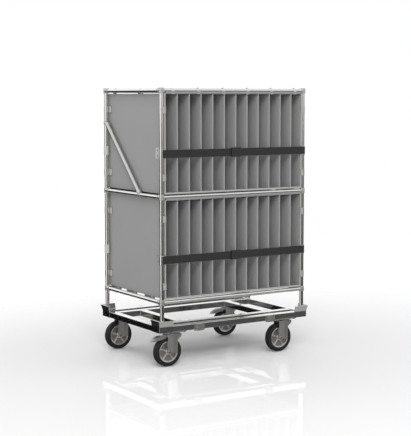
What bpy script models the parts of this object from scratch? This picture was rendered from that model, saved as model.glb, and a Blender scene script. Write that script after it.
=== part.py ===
"""Utility cart: a two-tier pipe rack with slotted inserts, standing on a wheeled steel dolly.

Sizes are in metres. X runs along the long side, Y from the front to the back and Z up from the floor.
The origin is on the floor, under the middle of the cart's overall length and depth.
"""

import math

import bmesh
import bpy
from mathutils import Matrix, Vector

# Clearances
seat_gap = 0.0003
overrun = 0.012

# Dolly frame
dolly_length = 1.200
dolly_depth = 0.800
beam_width = 0.050
beam_height = 0.040
beam_wall = 0.003
inner_rail_inset = 0.108
cross_member_inset = 0.216

# Corner catches, which keep the rack on the dolly
catch_leg = 0.100
catch_wall = 0.005
catch_upright = 0.040
catch_flare_height = 0.039
catch_flare = 0.010

# Pin sockets on the front and back beams
socket_offset = 0.292
socket_width = 0.080
socket_flange = 0.017
socket_depth = 0.013
socket_wall = 0.003
socket_height = 0.050
socket_drop = 0.012

# Casters
wheel_radius = 0.100
tyre_width = 0.048
tyre_depth = 0.028
tyre_chamfer = 0.006
rim_width = 0.040
rim_wall = 0.007
rim_web = 0.012
hub_radius = 0.021
hub_clearance = 0.0005
spoke_width = 0.015
spoke_count = 5
wheel_sides = 20
axle_radius = 0.006
axle_clearance = 0.0004
axle_head_radius = 0.010
axle_head_height = 0.007
axle_boss_radius = 0.020
trail = 0.055
swivel_inset_x = 0.145
swivel_inset_y = 0.058
fork_inner_width = 0.060
fork_wall = 0.005
fork_front = 0.078
fork_rear = 0.038
fork_skirt = 0.014
crown_clearance = 0.013
bearing_radius = 0.036
bearing_height = 0.012
kingpin_radius = 0.006
kingpin_clearance = 0.0006
kingpin_recess = 0.001
plate_length = 0.135
plate_depth = 0.110
plate_thickness = 0.0065
bolt_edge = 0.015
bolt_radius = 0.004
bolt_clearance = 0.0006
bolt_head_radius = 0.0075
bolt_head_height = 0.0055
bolt_projection = 0.0015
pad_thickness = 0.008

# Brake pedals
pedal_pivot_inset = 0.008
pedal_pivot_drop = 0.006
pedal_length = 0.120
pedal_width = 0.044
pedal_plate = 0.005
pedal_barrel_radius = 0.005
pedal_barrel_clearance = 0.0005
pedal_pin_radius = 0.003
pedal_pin_clearance = 0.0004
pedal_pin_overhang = 0.002
pedal_path_shares = ((0.0, 0.0), (0.38, 0.02), (0.73, -0.10), (1.0, -0.27))

# Rack pipes
pipe_radius = 0.014
pipe_wall = 0.002
pipe_sides = 12
post_inset_x = 0.028
post_inset_y = 0.017
bottom_rail_rise = 0.160
tier_pitch = 0.6965
post_rise = 0.019
post_cap = 0.003
joint_wall = 0.0035
joint_height = 0.035
joint_reach = 0.038
joint_stop = 0.0006
joint_chamfer = 0.008

# Diagonal brace of the upper tier
brace_radius = 0.0125
brace_wall = 0.002
brace_rise = 0.4735
brace_foot = 0.309

# Slotted inserts
slot_count = 12
insert_offset = 0.020
insert_recess = 0.001
insert_floor_rise = 0.0185
insert_roof_drop = 0.0145
panel_wall = 0.003
side_border = 0.005
floor_border = 0.012
roof_border = 0.0095
border_depth = 0.010
divider_wall = 0.0025
divider_bead_width = 0.008
divider_bead_depth = 0.012
bead_recess = 0.0005

# Clips that hold the inserts to the pipes
clip_wall = 0.003
clip_width = 0.024
post_clip_height = 0.050
clip_lip = 0.019
post_clip_reach = 0.043
long_clip_margin = 0.0614
long_clip_count = 6
short_clip_margin = 0.1246
short_clip_count = 3
upper_clip_rises = (0.1285, 0.5685)
lower_clip_rises = (0.108, 0.553)

# Straps across the front of each tier
strap_height = 0.048
strap_thickness = 0.0025
strap_rise = 0.281
strap_overlap = 0.079
anchor_height = 0.060
anchor_wall = 0.003

# Places that follow from the sizes
half_length = dolly_length / 2
half_depth = dolly_depth / 2
axle_height = wheel_radius
rim_radius = wheel_radius - tyre_depth
crown_low = axle_height + wheel_radius + crown_clearance
crown_high = crown_low + fork_wall
bearing_high = crown_high + bearing_height
plate_low = bearing_high + seat_gap
plate_high = plate_low + plate_thickness
beam_low = plate_high + seat_gap
beam_high = beam_low + beam_height
swivel_x = half_length - swivel_inset_x
swivel_y = half_depth - swivel_inset_y
pedal_pivot_x = -(fork_front - pedal_pivot_inset)
pedal_pivot_z = crown_low - pedal_pivot_drop
post_x = half_length - post_inset_x
post_y = half_depth - post_inset_y
bottom_rail_z = beam_high + bottom_rail_rise
mid_rail_z = bottom_rail_z + tier_pitch
top_rail_z = mid_rail_z + tier_pitch
post_low = beam_high + seat_gap
post_high = top_rail_z + post_rise
joint_bore = pipe_radius + seat_gap
joint_radius = joint_bore + joint_wall
rail_reach_x = post_x - joint_radius - seat_gap
rail_reach_y = post_y - joint_radius - joint_stop
insert_half_x = post_x - insert_offset
insert_half_y = post_y + pipe_radius - insert_recess
slot_pitch = 2 * insert_half_x / slot_count
tiers = (("lower", bottom_rail_z, lower_clip_rises), ("upper", mid_rail_z, upper_clip_rises))
sides = ((-1, -1), (1, -1), (-1, 1), (1, 1))
side_names = {(-1, -1): "front_left", (1, -1): "front_right", (-1, 1): "back_left", (1, 1): "back_right"}
braked = ("front_left", "back_right")

# The pedals reach past the dolly on one side, so the overall length isn't centred on the dolly
reach_left = swivel_x + max(pedal_length - pedal_pivot_x, trail + wheel_radius)
reach_right = half_length + seat_gap + catch_wall + catch_flare
frame_shift = (reach_left - reach_right) / 2


def clear_scene():
    for item in list(bpy.data.objects):
        bpy.data.objects.remove(item, do_unlink=True)


def make_material(name, colour, roughness, metallic):
    finish = bpy.data.materials.new(name)
    finish.use_nodes = True
    shader = finish.node_tree.nodes["Principled BSDF"]
    shader.inputs["Base Color"].default_value = (*colour, 1.0)
    shader.inputs["Roughness"].default_value = roughness
    shader.inputs["Metallic"].default_value = metallic
    finish.diffuse_color = (*colour, 1.0)
    return finish


def make_materials():
    return {
        "zinc": make_material("zinc_steel", (0.62, 0.62, 0.61), 0.28, 1.0),
        "pipe": make_material("pipe_steel", (0.66, 0.65, 0.64), 0.30, 1.0),
        "catch": make_material("catch_steel", (0.55, 0.55, 0.54), 0.40, 0.9),
        "alloy": make_material("wheel_alloy", (0.62, 0.62, 0.62), 0.35, 1.0),
        "tyre": make_material("tyre_rubber", (0.02, 0.02, 0.02), 0.70, 0.0),
        "panel": make_material("panel_grey", (0.30, 0.30, 0.30), 0.40, 0.0),
        "strap": make_material("strap_webbing", (0.035, 0.035, 0.035), 0.80, 0.0),
    }


def make_empty(name, parent, place):
    empty = bpy.data.objects.new(name, None)
    empty.parent = parent
    empty.location = place
    bpy.context.scene.collection.objects.link(empty)
    return empty


def add_piece(name, mesh, finish, parent):
    piece = bpy.data.objects.new(name, mesh)
    piece.parent = parent
    mesh.materials.clear()
    mesh.materials.append(finish)
    bpy.context.scene.collection.objects.link(piece)
    return piece


def to_mesh(name, bm):
    """Close the bmesh into a mesh with its faces pointing out and its round faces shaded smooth."""
    bmesh.ops.recalc_face_normals(bm, faces=bm.faces[:])
    mesh = bpy.data.meshes.new(name)
    bm.to_mesh(mesh)
    bm.free()
    mesh.shade_smooth()
    mesh.set_sharp_from_angle(angle=math.radians(35))
    return mesh


def combine(name, base, tools, operation):
    """Apply one exact Boolean for each tool mesh to the base mesh, and return the result."""
    collection = bpy.context.scene.collection
    body = bpy.data.objects.new(name, base)
    collection.objects.link(body)
    guides = []
    for tool in tools:
        guide = bpy.data.objects.new(name + "_guide", tool)
        guide.hide_render = True
        guide.display_type = "WIRE"
        collection.objects.link(guide)
        modifier = body.modifiers.new("shape", "BOOLEAN")
        modifier.operation = operation
        modifier.solver = "EXACT"
        modifier.object = guide
        guides.append(guide)
    depsgraph = bpy.context.evaluated_depsgraph_get()
    result = bpy.data.meshes.new_from_object(body.evaluated_get(depsgraph))
    for item in guides + [body]:
        bpy.data.objects.remove(item, do_unlink=True)
    result.shade_smooth()
    result.set_sharp_from_angle(angle=math.radians(35))
    return result


def loft(bm, loops, closed=False):
    """Join loops of equally many points by quads. The two ends are capped, or joined when closed."""
    rows = [[bm.verts.new(point) for point in loop] for loop in loops]
    pairs = list(zip(rows, rows[1:]))
    if closed:
        pairs.append((rows[-1], rows[0]))
    count = len(rows[0])
    for first, second in pairs:
        for i in range(count):
            j = (i + 1) % count
            bm.faces.new((first[i], first[j], second[j], second[i]))
    if not closed:
        bm.faces.new(rows[0])
        bm.faces.new(rows[-1])


def box(bm, low, high):
    rows = []
    for z in (low[2], high[2]):
        rows.append([(low[0], low[1], z), (high[0], low[1], z), (high[0], high[1], z), (low[0], high[1], z)])
    loft(bm, rows)


def box_mesh(name, low, high):
    bm = bmesh.new()
    box(bm, low, high)
    return to_mesh(name, bm)


def swap(point, height, axis):
    """Place a point of a flat outline at a height along the named axis."""
    if axis == "X":
        return (height, point[0], point[1])
    if axis == "Y":
        return (point[0], height, point[1])
    return (point[0], point[1], height)


def prism(bm, outline, axis, low, high):
    loft(bm, [[swap(point, height, axis) for point in outline] for height in (low, high)])


def arc(centre, radius, start, end, steps):
    """Points on an arc, with its angles in degrees."""
    points = []
    for i in range(steps + 1):
        angle = math.radians(start + (end - start) * i / steps)
        points.append((centre[0] + radius * math.cos(angle), centre[1] + radius * math.sin(angle)))
    return points


def circle(radius, count, centre=(0.0, 0.0)):
    """A regular outline with a flat side towards each axis, when its count divides by four."""
    half_step = 180 / count
    return arc(centre, radius, half_step, 360 - half_step, count - 1)


def pipe(bm, outer, inner, count, axis, low, high, centre=(0.0, 0.0)):
    """A hollow pipe along an axis."""
    rows = []
    for radius, height in ((outer, low), (outer, high), (inner, high), (inner, low)):
        rows.append([swap(point, height, axis) for point in circle(radius, count, centre)])
    loft(bm, rows, closed=True)


def turned(bm, profile, count, axis):
    """A closed ring turned from (radius, height) points about the axis through the origin."""
    rows = [[swap(point, height, axis) for point in circle(radius, count)] for radius, height in profile]
    loft(bm, rows, closed=True)


def thick_path(points, thickness):
    """The closed outline of a bent strip that follows a path through the middle of its thickness."""
    path = [Vector(point) for point in points]
    left, right = [], []
    for i, point in enumerate(path):
        before = (point - path[i - 1]).normalized() if i > 0 else None
        after = (path[i + 1] - point).normalized() if i < len(path) - 1 else None
        along = (before + after).normalized() if before and after else (before or after)
        normal = Vector((-along.y, along.x))
        square = Vector((-(after or before).y, (after or before).x))
        offset = normal * (thickness / 2 / normal.dot(square))
        left.append(point + offset)
        right.append(point - offset)
    return [tuple(point) for point in left + right[::-1]]


def copies(name, mesh, matrices):
    """One mesh that holds a separate copy of a solid at each matrix. A mirrored copy keeps its faces out."""
    bm = bmesh.new()
    for matrix in matrices:
        part = mesh.copy()
        part.transform(matrix)
        if matrix.determinant() < 0:
            part.flip_normals()
        bm.from_mesh(part)
        bpy.data.meshes.remove(part)
    result = bpy.data.meshes.new(name)
    bm.to_mesh(result)
    bm.free()
    return result


def mirrored(side_x, side_y, place=(0.0, 0.0, 0.0)):
    """A matrix that mirrors a piece made for the +X and +Y corner into another corner."""
    return Matrix.Translation(place) @ Matrix.Diagonal((side_x, side_y, 1.0, 1.0))


def rect_tube_mesh(name, axis, low, high, across):
    """A hollow beam of the dolly along an axis, with across as the middle of its width."""
    middle = (beam_low + beam_high) / 2
    rows = []
    for inset, height in ((0.0, low), (0.0, high), (beam_wall, high), (beam_wall, low)):
        half_width = beam_width / 2 - inset
        half_height = beam_height / 2 - inset
        corners = [(-half_width, -half_height), (half_width, -half_height),
                   (half_width, half_height), (-half_width, half_height)]
        rows.append([swap((across + a, middle + b), height, axis) for a, b in corners])
    bm = bmesh.new()
    loft(bm, rows, closed=True)
    return to_mesh(name, bm)


def build_dolly(root, finishes):
    """Outer beams, the inner rails with their caster pads, and the cross members, all welded together."""
    zinc = finishes["zinc"]
    outer_y = half_depth - beam_width / 2
    inner_y = half_depth - inner_rail_inset - beam_width / 2
    side_x = half_length - beam_width / 2
    cross_x = half_length - cross_member_inset - beam_width / 2
    side_reach = half_depth - beam_width - seat_gap
    inner_reach = half_length - beam_width - seat_gap
    cross_reach = inner_y - beam_width / 2 - seat_gap
    for name, side in (("front_beam", -1), ("back_beam", 1)):
        beam = rect_tube_mesh(name, "X", -half_length, half_length, side * outer_y)
        add_piece(name, combine(name, beam, [bolt_hole_cutters()], "DIFFERENCE"), zinc, root)
    for name, side in (("side_beam_left", -1), ("side_beam_right", 1)):
        add_piece(name, rect_tube_mesh(name, "Y", -side_reach, side_reach, side * side_x), zinc, root)
    for name, side in (("inner_rail_front", -1), ("inner_rail_back", 1)):
        rail = rect_tube_mesh(name, "X", -inner_reach, inner_reach, side * inner_y)
        rail = combine(name, rail, [pad_mesh(side)], "UNION")
        add_piece(name, combine(name, rail, [bolt_hole_cutters()], "DIFFERENCE"), zinc, root)
    for name, side in (("cross_member_left", -1), ("cross_member_right", 1)):
        add_piece(name, rect_tube_mesh(name, "Y", -cross_reach, cross_reach, side * cross_x), zinc, root)


def pad_mesh(side):
    """The two pads that fill the gap between an inner rail and the beam outside it, over the casters."""
    weld_y = half_depth - inner_rail_inset - beam_wall / 2
    beam_y = half_depth - beam_width - seat_gap
    near, far = sorted((side * weld_y, side * beam_y))
    bm = bmesh.new()
    for centre in (-swivel_x, swivel_x):
        low = (centre - plate_length / 2, near, beam_low)
        box(bm, low, (centre + plate_length / 2, far, beam_low + pad_thickness))
    return to_mesh("caster_pads", bm)


def bolt_places():
    """The bolts' places on a caster's plate, measured from its swivel axis."""
    return [(x * (plate_length / 2 - bolt_edge), y * (plate_depth / 2 - bolt_edge)) for x, y in sides]


def bolt_hole_cutters():
    bm = bmesh.new()
    for side_x, side_y in sides:
        for x, y in bolt_places():
            outline = circle(bolt_radius + bolt_clearance, 6, (side_x * swivel_x + x, side_y * swivel_y + y))
            prism(bm, outline, "Z", plate_low - overrun, beam_low + pad_thickness + overrun)
    return to_mesh("bolt_holes", bm)


def catch_outline(reach):
    """The L-shaped section of the +X and +Y catch, with its outer faces pushed out by reach."""
    outer_x = half_length + seat_gap + catch_wall + reach
    outer_y = half_depth + seat_gap + catch_wall + reach
    end_x = half_length - catch_leg
    end_y = half_depth - catch_leg
    inner_x = outer_x - catch_wall
    inner_y = outer_y - catch_wall
    return [(end_x, outer_y), (outer_x, outer_y), (outer_x, end_y),
            (inner_x, end_y), (inner_x, inner_y), (end_x, inner_y)]


def build_catches(root, finishes):
    levels = ((beam_low, 0.0), (beam_low + catch_upright, 0.0),
              (beam_low + catch_upright + catch_flare_height, catch_flare))
    bm = bmesh.new()
    loft(bm, [[(x, y, z) for x, y in catch_outline(reach)] for z, reach in levels])
    mesh = to_mesh("corner_catch", bm)
    for side_x, side_y in sides:
        name = "corner_catch_" + side_names[(side_x, side_y)]
        add_piece(name, copies(name, mesh, [mirrored(side_x, side_y)]), finishes["catch"], root)
    bpy.data.meshes.remove(mesh)


def build_sockets(root, finishes):
    """Hat-shaped pockets, open at the top and bottom, for a stake or a coupling pin."""
    face = half_depth + seat_gap + socket_wall / 2
    brow = face + socket_depth - socket_wall / 2
    half_width = socket_width / 2
    half_hat = half_width - socket_flange
    path = [(-half_width, face), (-half_hat, face), (-half_hat, brow),
            (half_hat, brow), (half_hat, face), (half_width, face)]
    low = beam_low - socket_drop
    bm = bmesh.new()
    prism(bm, thick_path(path, socket_wall), "Z", low, low + socket_height)
    mesh = to_mesh("pin_socket", bm)
    for side_x, side_y in sides:
        name = "pin_socket_" + side_names[(side_x, side_y)]
        place = mirrored(side_x, side_y, (side_x * socket_offset, 0.0, 0.0))
        add_piece(name, copies(name, mesh, [place]), finishes["zinc"], root)
    bpy.data.meshes.remove(mesh)


def plate_mesh():
    """A caster's top plate with its four bolts, placed from the swivel axis at floor level."""
    plate = box_mesh("caster_plate", (-plate_length / 2, -plate_depth / 2, plate_low),
                     (plate_length / 2, plate_depth / 2, plate_high))
    head_low = plate_low - bolt_head_height
    bolt_high = beam_low + pad_thickness + bolt_projection
    rows = ((bolt_head_radius, head_low), (bolt_head_radius, plate_low + plate_thickness / 2),
            (bolt_radius, plate_low + plate_thickness / 2), (bolt_radius, bolt_high))
    bm = bmesh.new()
    for place in bolt_places():
        loft(bm, [[(x, y, z) for x, y in circle(radius, 6, place)] for radius, z in rows])
    plate = combine("caster_plate", plate, [to_mesh("plate_bolts", bm)], "UNION")
    bm = bmesh.new()
    prism(bm, circle(kingpin_radius + kingpin_clearance, 12), "Z", plate_low - overrun, plate_high + overrun)
    return combine("caster_plate", plate, [to_mesh("kingpin_hole", bm)], "DIFFERENCE")


def fork_mesh(with_pedal):
    """A pressed fork with its swivel bearing and kingpin, placed from the swivel axis at floor level."""
    half_outer = fork_inner_width / 2 + fork_wall
    half_inner = fork_inner_width / 2
    leg_low = axle_height - axle_boss_radius
    leg_end = leg_low - overrun
    shoulder = crown_high - fork_wall
    channel = [(-half_outer, leg_end), (-half_outer, shoulder), (-half_inner, crown_high),
               (half_inner, crown_high), (half_outer, shoulder), (half_outer, leg_end),
               (half_inner, leg_end), (half_inner, crown_low), (-half_inner, crown_low), (-half_inner, leg_end)]
    bm = bmesh.new()
    prism(bm, channel, "X", -fork_front - overrun, fork_rear + overrun)
    body = to_mesh("fork_channel", bm)
    skirt_low = crown_low - fork_skirt
    profile = [(fork_rear, skirt_low), (fork_rear, crown_high + overrun), (-fork_front, crown_high + overrun)]
    profile += arc((-trail, axle_height), axle_boss_radius, 180, 360, 6)
    bm = bmesh.new()
    prism(bm, profile, "Y", -half_outer - overrun, half_outer + overrun)
    body = combine("fork", body, [to_mesh("fork_profile", bm)], "INTERSECT")
    bm = bmesh.new()
    rows = ((bearing_radius, crown_low + fork_wall / 2), (bearing_radius, bearing_high),
            (kingpin_radius, bearing_high), (kingpin_radius, plate_high - kingpin_recess))
    loft(bm, [[(x, y, z) for x, y in circle(radius, 12)] for radius, z in rows])
    body = combine("fork", body, [to_mesh("swivel_bearing", bm)], "UNION")
    bm = bmesh.new()
    hole = circle(axle_radius + axle_clearance, 12, (-trail, axle_height))
    prism(bm, hole, "Y", -half_outer - overrun, half_outer + overrun)
    if with_pedal:
        hole = circle(pedal_pin_radius + pedal_pin_clearance, 8, (pedal_pivot_x, pedal_pivot_z))
        prism(bm, hole, "Y", -half_outer - overrun, half_outer + overrun)
    return combine("fork", body, [to_mesh("fork_holes", bm)], "DIFFERENCE")


def rim_mesh():
    """A cast rim about its own axle: hub, web with windows between the spokes, and the ring."""
    half_hub = fork_inner_width / 2 - hub_clearance
    half_rim = rim_width / 2
    half_web = rim_web / 2
    bore = axle_radius + axle_clearance
    inner_ring = rim_radius - rim_wall
    profile = [(bore, -half_hub), (hub_radius, -half_hub), (hub_radius, -half_web), (inner_ring, -half_web),
               (inner_ring, -half_rim), (rim_radius, -half_rim), (rim_radius, half_rim), (inner_ring, half_rim),
               (inner_ring, half_web), (hub_radius, half_web), (hub_radius, half_hub), (bore, half_hub)]
    bm = bmesh.new()
    turned(bm, profile, wheel_sides, "Y")
    body = to_mesh("rim_body", bm)
    window_low = hub_radius + rim_wall / 2
    window_high = inner_ring - rim_wall / 2
    bm = bmesh.new()
    for i in range(spoke_count):
        middle = 90 + 360 * (i + 0.5) / spoke_count
        half_turn = 180 / spoke_count
        low_half = half_turn - math.degrees(math.asin(spoke_width / 2 / window_low))
        high_half = half_turn - math.degrees(math.asin(spoke_width / 2 / window_high))
        outline = arc((0.0, 0.0), window_low, middle - low_half, middle + low_half, 1)
        outline += arc((0.0, 0.0), window_high, middle + high_half, middle - high_half, 2)
        prism(bm, outline, "Y", -half_web - overrun, half_web + overrun)
    return combine("rim", body, [to_mesh("rim_windows", bm)], "DIFFERENCE")


def tyre_mesh():
    """A solid tyre whose tread has a flat side on the floor at exactly the wheel's radius."""
    half_width = tyre_width / 2
    flat = math.cos(math.pi / wheel_sides)
    tread = wheel_radius / flat
    shoulder = tread - tyre_chamfer
    seat = rim_radius + seat_gap / flat
    profile = [(seat, -half_width), (shoulder, -half_width), (tread, tyre_chamfer - half_width),
               (tread, half_width - tyre_chamfer), (shoulder, half_width), (seat, half_width)]
    bm = bmesh.new()
    turned(bm, profile, wheel_sides, "Y")
    return to_mesh("tyre", bm)


def axle_mesh():
    """A through bolt with its head on one side of the fork and its nut on the other."""
    face = fork_inner_width / 2 + fork_wall + seat_gap
    end = face + axle_head_height
    rows = ((axle_head_radius, -end), (axle_head_radius, -face), (axle_radius, -face),
            (axle_radius, face), (axle_head_radius, face), (axle_head_radius, end))
    bm = bmesh.new()
    loft(bm, [[(x, y, z) for x, z in circle(radius, 6)] for radius, y in rows])
    return to_mesh("axle_bolt", bm)


def pedal_mesh():
    """A brake pedal about its own pivot: a bent plate, the barrel between the fork's legs, and its pin."""
    path = [(-a * pedal_length, b * pedal_length) for a, b in pedal_path_shares]
    half_width = pedal_width / 2
    half_barrel = fork_inner_width / 2 - pedal_barrel_clearance
    half_pin = fork_inner_width / 2 + fork_wall + pedal_pin_overhang
    bm = bmesh.new()
    prism(bm, thick_path(path, pedal_plate), "Y", -half_width, half_width)
    body = to_mesh("pedal_plate", bm)
    bm = bmesh.new()
    prism(bm, circle(pedal_barrel_radius, 8), "Y", -half_barrel, half_barrel)
    barrel = to_mesh("pedal_barrel", bm)
    bm = bmesh.new()
    prism(bm, circle(pedal_pin_radius, 8), "Y", -half_pin, half_pin)
    return combine("pedal", body, [barrel, to_mesh("pedal_pin", bm)], "UNION")


def build_casters(root, finishes):
    fork_plain = fork_mesh(with_pedal=False)
    fork_braked = fork_mesh(with_pedal=True)
    rim = rim_mesh()
    tyre = tyre_mesh()
    axle = axle_mesh()
    pedal = pedal_mesh()
    plate = plate_mesh()
    for side_x, side_y in sides:
        corner = side_names[(side_x, side_y)]
        mount = make_empty("caster_mount_" + corner, root, (side_x * swivel_x, side_y * swivel_y, 0.0))
        swivel = make_empty("swivel_axis_" + corner, mount, (0.0, 0.0, 0.0))
        spin = make_empty("wheel_axis_" + corner, swivel, (-trail, 0.0, axle_height))
        fork = fork_braked if corner in braked else fork_plain
        add_piece("caster_plate_" + corner, plate.copy(), finishes["zinc"], mount)
        add_piece("caster_fork_" + corner, fork.copy(), finishes["zinc"], swivel)
        add_piece("axle_bolt_" + corner, axle.copy(), finishes["zinc"], spin)
        add_piece("wheel_rim_" + corner, rim.copy(), finishes["alloy"], spin)
        add_piece("tyre_" + corner, tyre.copy(), finishes["tyre"], spin)
        if corner in braked:
            pivot = make_empty("pedal_axis_" + corner, swivel, (pedal_pivot_x, 0.0, pedal_pivot_z))
            add_piece("brake_pedal_" + corner, pedal.copy(), finishes["zinc"], pivot)


def joint_meshes(height):
    """A cast joint round a post, with an arm for the end rail towards -Y, and that rail's bore."""
    side = joint_radius
    corner = side - joint_chamfer
    outline = [(-side, -joint_reach), (side, -joint_reach), (side, corner), (corner, side),
               (-corner, side), (-side, corner)]
    bm = bmesh.new()
    prism(bm, outline, "Z", height - joint_height / 2, height + joint_height / 2)
    block = to_mesh("joint_block", bm)
    bm = bmesh.new()
    prism(bm, circle(joint_bore, pipe_sides, (0.0, height)), "Y", -joint_reach - overrun, -side)
    return block, to_mesh("joint_bore", bm)


def side_clip(tab):
    """The section of a clip beside the insert: pipe at the origin, wall at +u, and the tab down to -tab."""
    far = insert_offset - seat_gap
    near = far - clip_wall
    points = [(0.0, -clip_wall), (near, -clip_wall), (near, -tab), (far, -tab), (far, clip_wall)]
    return points + arc((0.0, 0.0), pipe_radius + clip_wall, 45, 180, 3)


def face_clip(tab):
    """The section of a clip that hooks over a pipe at +u and hangs over the insert's face down to -tab."""
    far = pipe_radius + clip_wall
    near = pipe_radius - insert_recess + seat_gap
    return [(near, 0.0), (near, -tab), (far, -tab)] + arc((0.0, 0.0), far, 0, 180, 4)


def clip_mesh(section, run, outward, upward, place):
    """A clip on a pipe through the place, with its section's u and v axes along two world directions."""
    across = Vector(outward)
    over = Vector(upward)
    turn = Matrix((across, over, across.cross(over))).transposed().to_4x4()
    bm = bmesh.new()
    prism(bm, section, "Z", -run / 2, run / 2)
    bmesh.ops.transform(bm, matrix=Matrix.Translation(place) @ turn, verts=bm.verts[:])
    return to_mesh("clip", bm)


def post_clips(at_front):
    """The clips of one post, in its mirrored frame. A front post's tabs lie on the insert's front border."""
    section = face_clip(insert_offset + side_border) if at_front else side_clip(post_clip_reach)
    outward = (0, 1, 0) if at_front else (-1, 0, 0)
    upward = (1, 0, 0) if at_front else (0, 1, 0)
    clips = []
    for _, rail_z, rises in tiers:
        for rise in rises:
            clips.append(clip_mesh(section, post_clip_height, outward, upward, (0.0, 0.0, rail_z + rise)))
    return clips


def post_mesh(at_front):
    """A post about its own axis, for the +X and +Y corner: pipe, joints, strap sleeves and clips."""
    bm = bmesh.new()
    prism(bm, circle(pipe_radius, pipe_sides), "Z", post_low, post_high)
    body = to_mesh("post", bm)
    bm = bmesh.new()
    for _, rail_z, _ in tiers:
        middle = rail_z + strap_rise
        outline = circle(pipe_radius + anchor_wall, pipe_sides)
        prism(bm, outline, "Z", middle - anchor_height / 2, middle + anchor_height / 2)
    added = [to_mesh("strap_sleeves", bm)]
    bm = bmesh.new()
    prism(bm, circle(pipe_radius - pipe_wall, pipe_sides), "Z", post_low - overrun, post_high - post_cap)
    taken = [to_mesh("post_bore", bm)]
    for height in (bottom_rail_z, mid_rail_z, top_rail_z):
        block, bore = joint_meshes(height)
        added.append(block)
        taken.append(bore)
    body = combine("post", body, added + post_clips(at_front), "UNION")
    return combine("post", body, taken, "DIFFERENCE")


def build_posts(rack, finishes):
    for side_x, side_y in sides:
        name = "post_" + side_names[(side_x, side_y)]
        place = mirrored(side_x, side_y, (side_x * post_x, side_y * post_y, 0.0))
        add_piece(name, copies(name, post_mesh(side_y < 0), [place]), finishes["pipe"], rack)


def spread(count, reach):
    """Evenly spaced places from -reach to reach."""
    return [2 * reach * i / (count - 1) - reach for i in range(count)]


def rail_mesh(name, axis, reach, place, clips):
    """A rail along an axis with the clips that are fast to it. Its place is given across its axis."""
    inner = pipe_radius - pipe_wall
    if not clips:
        bm = bmesh.new()
        pipe(bm, pipe_radius, inner, pipe_sides, axis, -reach, reach, place)
        return to_mesh(name, bm)
    bm = bmesh.new()
    prism(bm, circle(pipe_radius, pipe_sides, place), axis, -reach, reach)
    body = combine(name, to_mesh(name, bm), clips, "UNION")
    bm = bmesh.new()
    prism(bm, circle(inner, pipe_sides, place), axis, -reach - overrun, reach + overrun)
    return combine(name, body, [to_mesh("rail_bore", bm)], "DIFFERENCE")


def build_rails(rack, finishes):
    """Four rails at each of the three levels, fitted between the posts, with clips on some of them."""
    face_section = face_clip(insert_roof_drop + roof_border)
    roof_section = side_clip(insert_roof_drop + clip_lip)
    floor_section = side_clip(insert_floor_rise + clip_lip)
    for level, height in (("bottom", bottom_rail_z), ("mid", mid_rail_z), ("top", top_rail_z)):
        for side, turn in (("front", -1), ("back", 1)):
            place = turn * post_y
            clips = []
            if level == "top":
                for x in spread(long_clip_count, rail_reach_x - long_clip_margin):
                    middle = (x, place, height)
                    clips.append(clip_mesh(face_section, clip_width, (0, turn, 0), (0, 0, 1), middle))
            name = level + "_rail_" + side
            mesh = rail_mesh(name, "X", rail_reach_x, (place, height), clips)
            add_piece(name, mesh, finishes["pipe"], rack)
        for side, turn in (("left", -1), ("right", 1)):
            place = turn * post_x
            clips = []
            for y in spread(short_clip_count, rail_reach_y - short_clip_margin):
                middle = (place, y, height)
                if level == "top":
                    clips.append(clip_mesh(roof_section, clip_width, (-turn, 0, 0), (0, 0, 1), middle))
                if level == "bottom":
                    clips.append(clip_mesh(floor_section, clip_width, (-turn, 0, 0), (0, 0, -1), middle))
            name = level + "_rail_" + side
            mesh = rail_mesh(name, "Y", rail_reach_y, (place, height), clips)
            add_piece(name, mesh, finishes["pipe"], rack)


def build_brace(rack, finishes):
    """The diagonal from the back left post down to the left mid rail, fish-mouthed on both."""
    low = Vector((-post_x, brace_foot - post_y, mid_rail_z))
    high = Vector((-post_x, post_y, mid_rail_z + brace_rise))
    along = high - low
    turn = along.to_track_quat("Z", "X").to_matrix().to_4x4()
    bm = bmesh.new()
    pipe(bm, brace_radius, brace_radius - brace_wall, pipe_sides, "Z", 0.0, along.length)
    body = to_mesh("brace_pipe", bm)
    body.transform(Matrix.Translation(low) @ turn)
    bm = bmesh.new()
    cutter_radius = pipe_radius + seat_gap
    prism(bm, circle(cutter_radius, pipe_sides, (high.x, high.y)), "Z", mid_rail_z, top_rail_z)
    post_cutter = to_mesh("post_cutter", bm)
    bm = bmesh.new()
    prism(bm, circle(cutter_radius, pipe_sides, (low.x, low.z)), "Y", -post_y, post_y)
    rail_cutter = to_mesh("rail_cutter", bm)
    brace = combine("diagonal_brace", body, [post_cutter, rail_cutter], "DIFFERENCE")
    add_piece("diagonal_brace", brace, finishes["pipe"], rack)


def insert_span(rail_z):
    """The floor and roof heights of the insert that stands between two levels of rails."""
    return rail_z + insert_floor_rise, rail_z + tier_pitch - insert_roof_drop


def shell_mesh(name, low, high):
    """A box open at the front, with a thicker border round the opening."""
    outside = (insert_half_x, low, high)
    border = (insert_half_x - side_border, low + floor_border, high - roof_border)
    inside = (insert_half_x - panel_wall, low + panel_wall, high - panel_wall)
    behind = border_depth - insert_half_y
    stages = ((outside, insert_half_y), (outside, -insert_half_y), (border, -insert_half_y),
              (border, behind), (inside, behind), (inside, insert_half_y - panel_wall))
    bm = bmesh.new()
    loft(bm, [[(-half, y, base), (half, y, base), (half, y, roof), (-half, y, roof)]
              for (half, base, roof), y in stages])
    return to_mesh(name, bm)


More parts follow.
